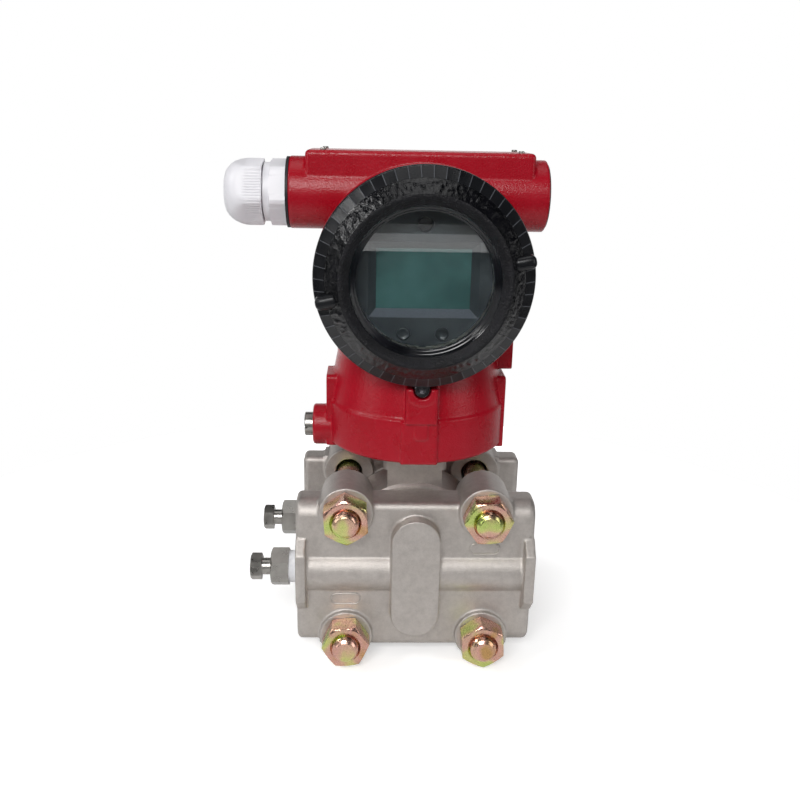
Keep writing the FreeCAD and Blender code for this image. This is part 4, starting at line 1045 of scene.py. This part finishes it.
class Fasteners:
    """The four clamping bolts with their threads, and the four nuts."""

    PITCH_X, PITCH_Z = 63.0, 62.0
    FLATS = 19.0
    FLAT_DOWN = 30.0
    NUT_TURNS = (-4.0, 26.0, 25.0, -4.0)
    BOLT_STEP = 17.0
    NUT_FRONT, NUT_BACK = -46.8, -36.8
    HEAD_FRONT, HEAD_BACK = 36.8, 44.3
    CORNER = 10.97

    def spots(self) -> list[Vector]:
        """The bolt centres, left then right, top then bottom.

        Returns:
            The centres in millimetres.
        """
        return [Vector((x * self.PITCH_X / 2, 0.0, z * self.PITCH_Z / 2))
                for z in (1, -1) for x in (-1, 1)]

    def seed(self, name: str, points: list[Point], loop: bool) -> bpy.types.Object:
        """One fastener about the origin.

        Args:
            name: Its name.
            points: Its outline.
            loop: Whether the outline closes on itself.

        Returns:
            The object.
        """
        angles = tuple(i * 3.0 for i in range(120))
        made = Turning(angles, flats=self.FLATS).mesh(eased(points, loop), loop)
        crisp(made, 32.0)
        return settle(made, name)

    def nut(self) -> list[Point]:
        """The outline of a nut, from its bore round the outside.

        Returns:
            The points.
        """
        cap = [(9.15, 0.0), (9.5, 0.12), (9.9, 0.3), (10.3, 0.52), (10.7, 0.76),
               (self.CORNER, 0.95)]
        outer, inner = self.NUT_FRONT, self.NUT_BACK
        front = [Point(r, outer + d, reach=Reach.HEX) for r, d in cap]
        back = [Point(r, inner - d, reach=Reach.HEX) for r, d in reversed(cap)]
        return [Point(6.05, inner), Point(6.05, outer + 1.0, 0.1), Point(6.95, outer, 0.15),
                Point(8.9, outer, 0.12)] + front + back

    def bolt(self) -> list[Point]:
        """The outline of a bolt, from its tip to its head.

        Returns:
            The points.
        """
        tip = [Point(0.0, -50.5), Point(2.4, -50.45), Point(4.3, -50.4, 0.2), Point(4.7, -50.1),
               Point(5.3, -49.5)]
        thread = [Point(5.95, -49.3 + 0.16 * i, reach=Reach.THREAD) for i in range(32)]
        shank = [Point(5.9, -44.0), Point(5.9, -17.8, 0.3), Point(5.4, -17.2, 0.3),
                 Point(5.4, self.HEAD_FRONT)]
        cap = [(self.CORNER, 0.95), (10.6, 0.7), (10.2, 0.46), (9.8, 0.25), (9.4, 0.08),
               (9.15, 0.0)]
        head = [Point(self.CORNER, self.HEAD_FRONT, reach=Reach.HEX)]
        head += [Point(r, self.HEAD_BACK - d, reach=Reach.HEX) for r, d in cap]
        crown = self.HEAD_BACK - 0.05
        return tip + thread + shank + head + [Point(8.8, crown), Point(0.0, crown)]

    def build(self) -> None:
        """Build the bolts and the nuts and show them in their nodes' places."""
        group, zinc = CopyGroup(), material(Finishes.ZINC)
        nuts = [(spot, self.FLAT_DOWN + turn) for spot, turn in zip(self.spots(), self.NUT_TURNS)]
        made = group.set_out("nuts", self.seed("nut_seed", self.nut(), True), nuts, zinc)
        show_for(made, "sensor", "flange_nuts")
        bolts = [(spot, self.FLAT_DOWN + self.BOLT_STEP * i) for i, spot in enumerate(self.spots())]
        made = group.set_out("bolts", self.seed("bolt_seed", self.bolt(), False), bolts, zinc)
        show_for(made, "sensor", "flange_bolts")


class Marks:
    """Blank cast lozenges on the webs of the flanges, where a grade would be."""

    WIDE, TALL, THICK = 13.6, 5.2, 0.5
    ASIDE, WEB_FACE = (-31.7, 31.7), 34.36
    SLOPE = 0.405
    STEPS = 8

    def path(self) -> list[Vector]:
        """The line of one lozenge in the XZ plane.

        Returns:
            Points round the line.
        """
        bend = self.TALL / 2
        half = self.WIDE / 2 - bend
        made = []
        for start, centre in ((-90, half), (90, -half)):
            for step in range(self.STEPS + 1):
                angle = math.radians(start + step * 180.0 / self.STEPS)
                made.append(Vector((centre + bend * math.cos(angle), 0.0, bend * math.sin(angle))))
        return made

    def build(self) -> None:
        """Raise the lozenges on both flanges."""
        for node, side, tilt in (("front", -1.0, 1.0), ("rear", 1.0, -1.0)):
            curve = bpy.data.curves.new(node + "_marks", "CURVE")
            curve.dimensions = "3D"
            curve.bevel_depth = self.THICK * MM
            curve.bevel_resolution = 2
            for x in self.ASIDE:
                centre = Vector((x, side * self.WEB_FACE, x * self.SLOPE * tilt)) + ORIGIN
                line = curve.splines.new("POLY")
                path = self.path()
                line.points.add(len(path) - 1)
                for point, spot in zip(line.points, path):
                    point.co = (*((spot + centre) * MM), 1.0)
                line.use_cyclic_u = True
            thing = placed(node + "_marks_line", curve)
            mesh = bpy.data.meshes.new_from_object(thing)
            bpy.data.objects.remove(thing)
            mesh.shade_smooth()
            made = placed(node + "_cast_marks", mesh)
            set_material(made, material(Finishes.STAINLESS))
            show_for(made, "sensor")


# ------------------------------------------------------------------------------ studio
FLOOR_RADIUS = 0.32
# The floor's own light: the radius it grows from, and its strength there and at the edge.
GLOW_START, GLOW_INNER, GLOW_EDGE = 0.08, 0.42, 1.0


def studio_floor() -> None:
    """A plain white floor that keeps the object's shadow and runs out into white."""
    made = bmesh.new()
    bmesh.ops.create_circle(made, cap_ends=True, segments=96, radius=FLOOR_RADIUS)
    shader = Shader("white_studio_paper")
    surface = shader.node("ShaderNodeBsdfDiffuse")
    surface.inputs["Color"].default_value = linear("#f2f2f2")
    glow = shader.node("ShaderNodeEmission")
    where = shader.node("ShaderNodeTexCoord")
    length = shader.node("ShaderNodeVectorMath", operation="LENGTH")
    shader.link(where.outputs["Object"], length.inputs[0])
    strength = shader.span(length.outputs["Value"], GLOW_INNER, GLOW_EDGE, GLOW_START, FLOOR_RADIUS)
    shader.link(strength, glow.inputs["Strength"])
    both = shader.node("ShaderNodeAddShader")
    shader.link(surface.outputs["BSDF"], both.inputs[0])
    shader.link(glow.outputs["Emission"], both.inputs[1])
    path = shader.node("ShaderNodeLightPath").outputs
    seen = shader.maths("MAXIMUM", path["Is Camera Ray"], path["Is Transmission Ray"])
    paper = shader.show(shader.mix(seen, surface.outputs["BSDF"], both.outputs["Shader"]))
    settle(made, "studio_floor", paper)


@dataclass(frozen=True)
class Lamp:
    """One soft rectangular lamp."""

    name: str
    at: tuple[float, float, float]
    size: tuple[float, float]
    watts: float
    aim: tuple[float, float, float] = (0.0, 0.0, 0.12)

    def build(self) -> None:
        """Put the lamp in the scene."""
        data = bpy.data.lights.new(self.name, "AREA")
        data.shape = "RECTANGLE"
        data.size, data.size_y = self.size
        data.energy = self.watts
        made = placed(self.name, data)
        made.location = self.at
        way = Vector(self.aim) - Vector(self.at)
        made.rotation_euler = way.to_track_quat("-Z", "Y").to_euler()


LAMPS = (
    Lamp("key", (-0.25, -1.12, 0.86), (0.7, 0.45), 11.4),
    Lamp("left", (-1.15, -0.55, 0.5), (0.5, 0.9), 2.8),
    Lamp("right", (1.15, -0.65, 0.5), (0.5, 0.9), 3.2),
    Lamp("top", (0.0, 0.15, 1.5), (0.9, 0.9), 3.0),
    Lamp("left_high", (-1.0, -0.2, 0.95), (0.22, 0.22), 3.2),
    Lamp("rear", (0.3, 1.4, 0.8), (1.0, 0.7), 1.2),
    Lamp("strip_low", (0.0, -1.72, -0.024), (1.3, 0.022), 0.17, (0.0, 0.0, 0.2)),
    Lamp("strip_middle", (0.0, -1.72, -0.004), (1.3, 0.018), 0.10, (0.0, 0.0, 0.2)),
    Lamp("strip_high", (0.0, -1.72, 0.016), (1.3, 0.022), 0.03, (0.0, 0.0, 0.2)),
)


class World(Tree):
    """The room: white behind the object, dim where the viewer stands, even for soft light."""

    LIT = 0.15
    ROOM = 0.03
    # Where the white sheet behind starts and is full, as parts of a ray's direction.
    SHEET_DEPTH = (0.3, 0.85)
    SHEET_HEIGHT = (0.14, 0.3)

    def __init__(self) -> None:
        """Start an empty world."""
        world = bpy.data.worlds.new("studio_room")
        bpy.context.scene.world = world
        super().__init__(world)

    def level(self, strength: float) -> bpy.types.Node:
        """A white background of one strength.

        Args:
            strength: Its strength.

        Returns:
            The background node.
        """
        made = self.node("ShaderNodeBackground")
        made.inputs["Color"].default_value = (1, 1, 1, 1)
        made.inputs["Strength"].default_value = strength
        return made

    def build(self) -> None:
        """Join the parts by the kind of ray."""
        where = self.node("ShaderNodeTexCoord")
        axes = self.node("ShaderNodeSeparateXYZ")
        self.link(where.outputs["Generated"], axes.inputs[0])
        depth = self.span(axes.outputs["Y"], self.ROOM, 1.0, *self.SHEET_DEPTH)
        height = self.span(axes.outputs["Z"], 1.0, self.ROOM, *self.SHEET_HEIGHT)
        mirrored, soft, white = self.level(1.0), self.level(self.LIT), self.level(1.0)
        self.link(self.maths("MULTIPLY", depth, height), mirrored.inputs["Strength"])
        path = self.node("ShaderNodeLightPath").outputs
        sharp = self.maths("MAXIMUM", path["Is Glossy Ray"], path["Is Transmission Ray"])
        inner = self.mix(sharp, soft.outputs["Background"], mirrored.outputs["Background"])
        outer = self.mix(path["Is Camera Ray"], inner, white.outputs["Background"])
        self.link(outer, self.node("ShaderNodeOutputWorld").inputs["Surface"])


def studio_light() -> None:
    """Soft lamps and the room round them."""
    for lamp in LAMPS:
        lamp.build()
    World().build()


SENSOR_MM, LENS_MM = 36.0, 39.68
# Pitch down, yaw to the right and roll, in degrees; the eye in millimetres from ORIGIN.
VIEW_ANGLES = (17.32, 2.08, 1.17)
EYE = Vector((-21.6, -397.2, 197.0))


def camera() -> None:
    """The camera: a little above, in front and slightly to the left."""
    data = bpy.data.cameras.new("camera")
    data.sensor_width, data.lens = SENSOR_MM, LENS_MM
    data.clip_start, data.clip_end = 0.01, 50.0
    pitch, yaw, roll = (math.radians(angle) for angle in VIEW_ANGLES)
    level = math.cos(pitch)
    ahead = Vector((math.sin(yaw) * level, math.cos(yaw) * level, -math.sin(pitch)))
    right = Vector((math.cos(yaw), -math.sin(yaw), 0.0))
    up = right.cross(ahead)
    side = math.cos(roll) * right + math.sin(roll) * up
    lift = -math.sin(roll) * right + math.cos(roll) * up
    turn = Matrix((side, lift, -ahead)).transposed().to_4x4()
    made = placed("camera", data)
    made.matrix_world = Matrix.Translation((EYE + ORIGIN) * MM) @ turn
    bpy.context.scene.camera = made


def main() -> None:
    """Build the whole scene."""
    logging.basicConfig(level=logging.INFO)
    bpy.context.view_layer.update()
    bpy.context.scene.view_settings.view_transform = "Standard"
    camera()
    studio_floor()
    studio_light()
    dress_frame()
    for casting in CASTINGS:
        casting.build()
    for cover in COVERS:
        cover.build()
    window_glass()
    keys()
    Gland().build()
    Fasteners().build()
    Marks().build()
    bpy.context.view_layer.update()


if __name__ == "__main__":
    main()
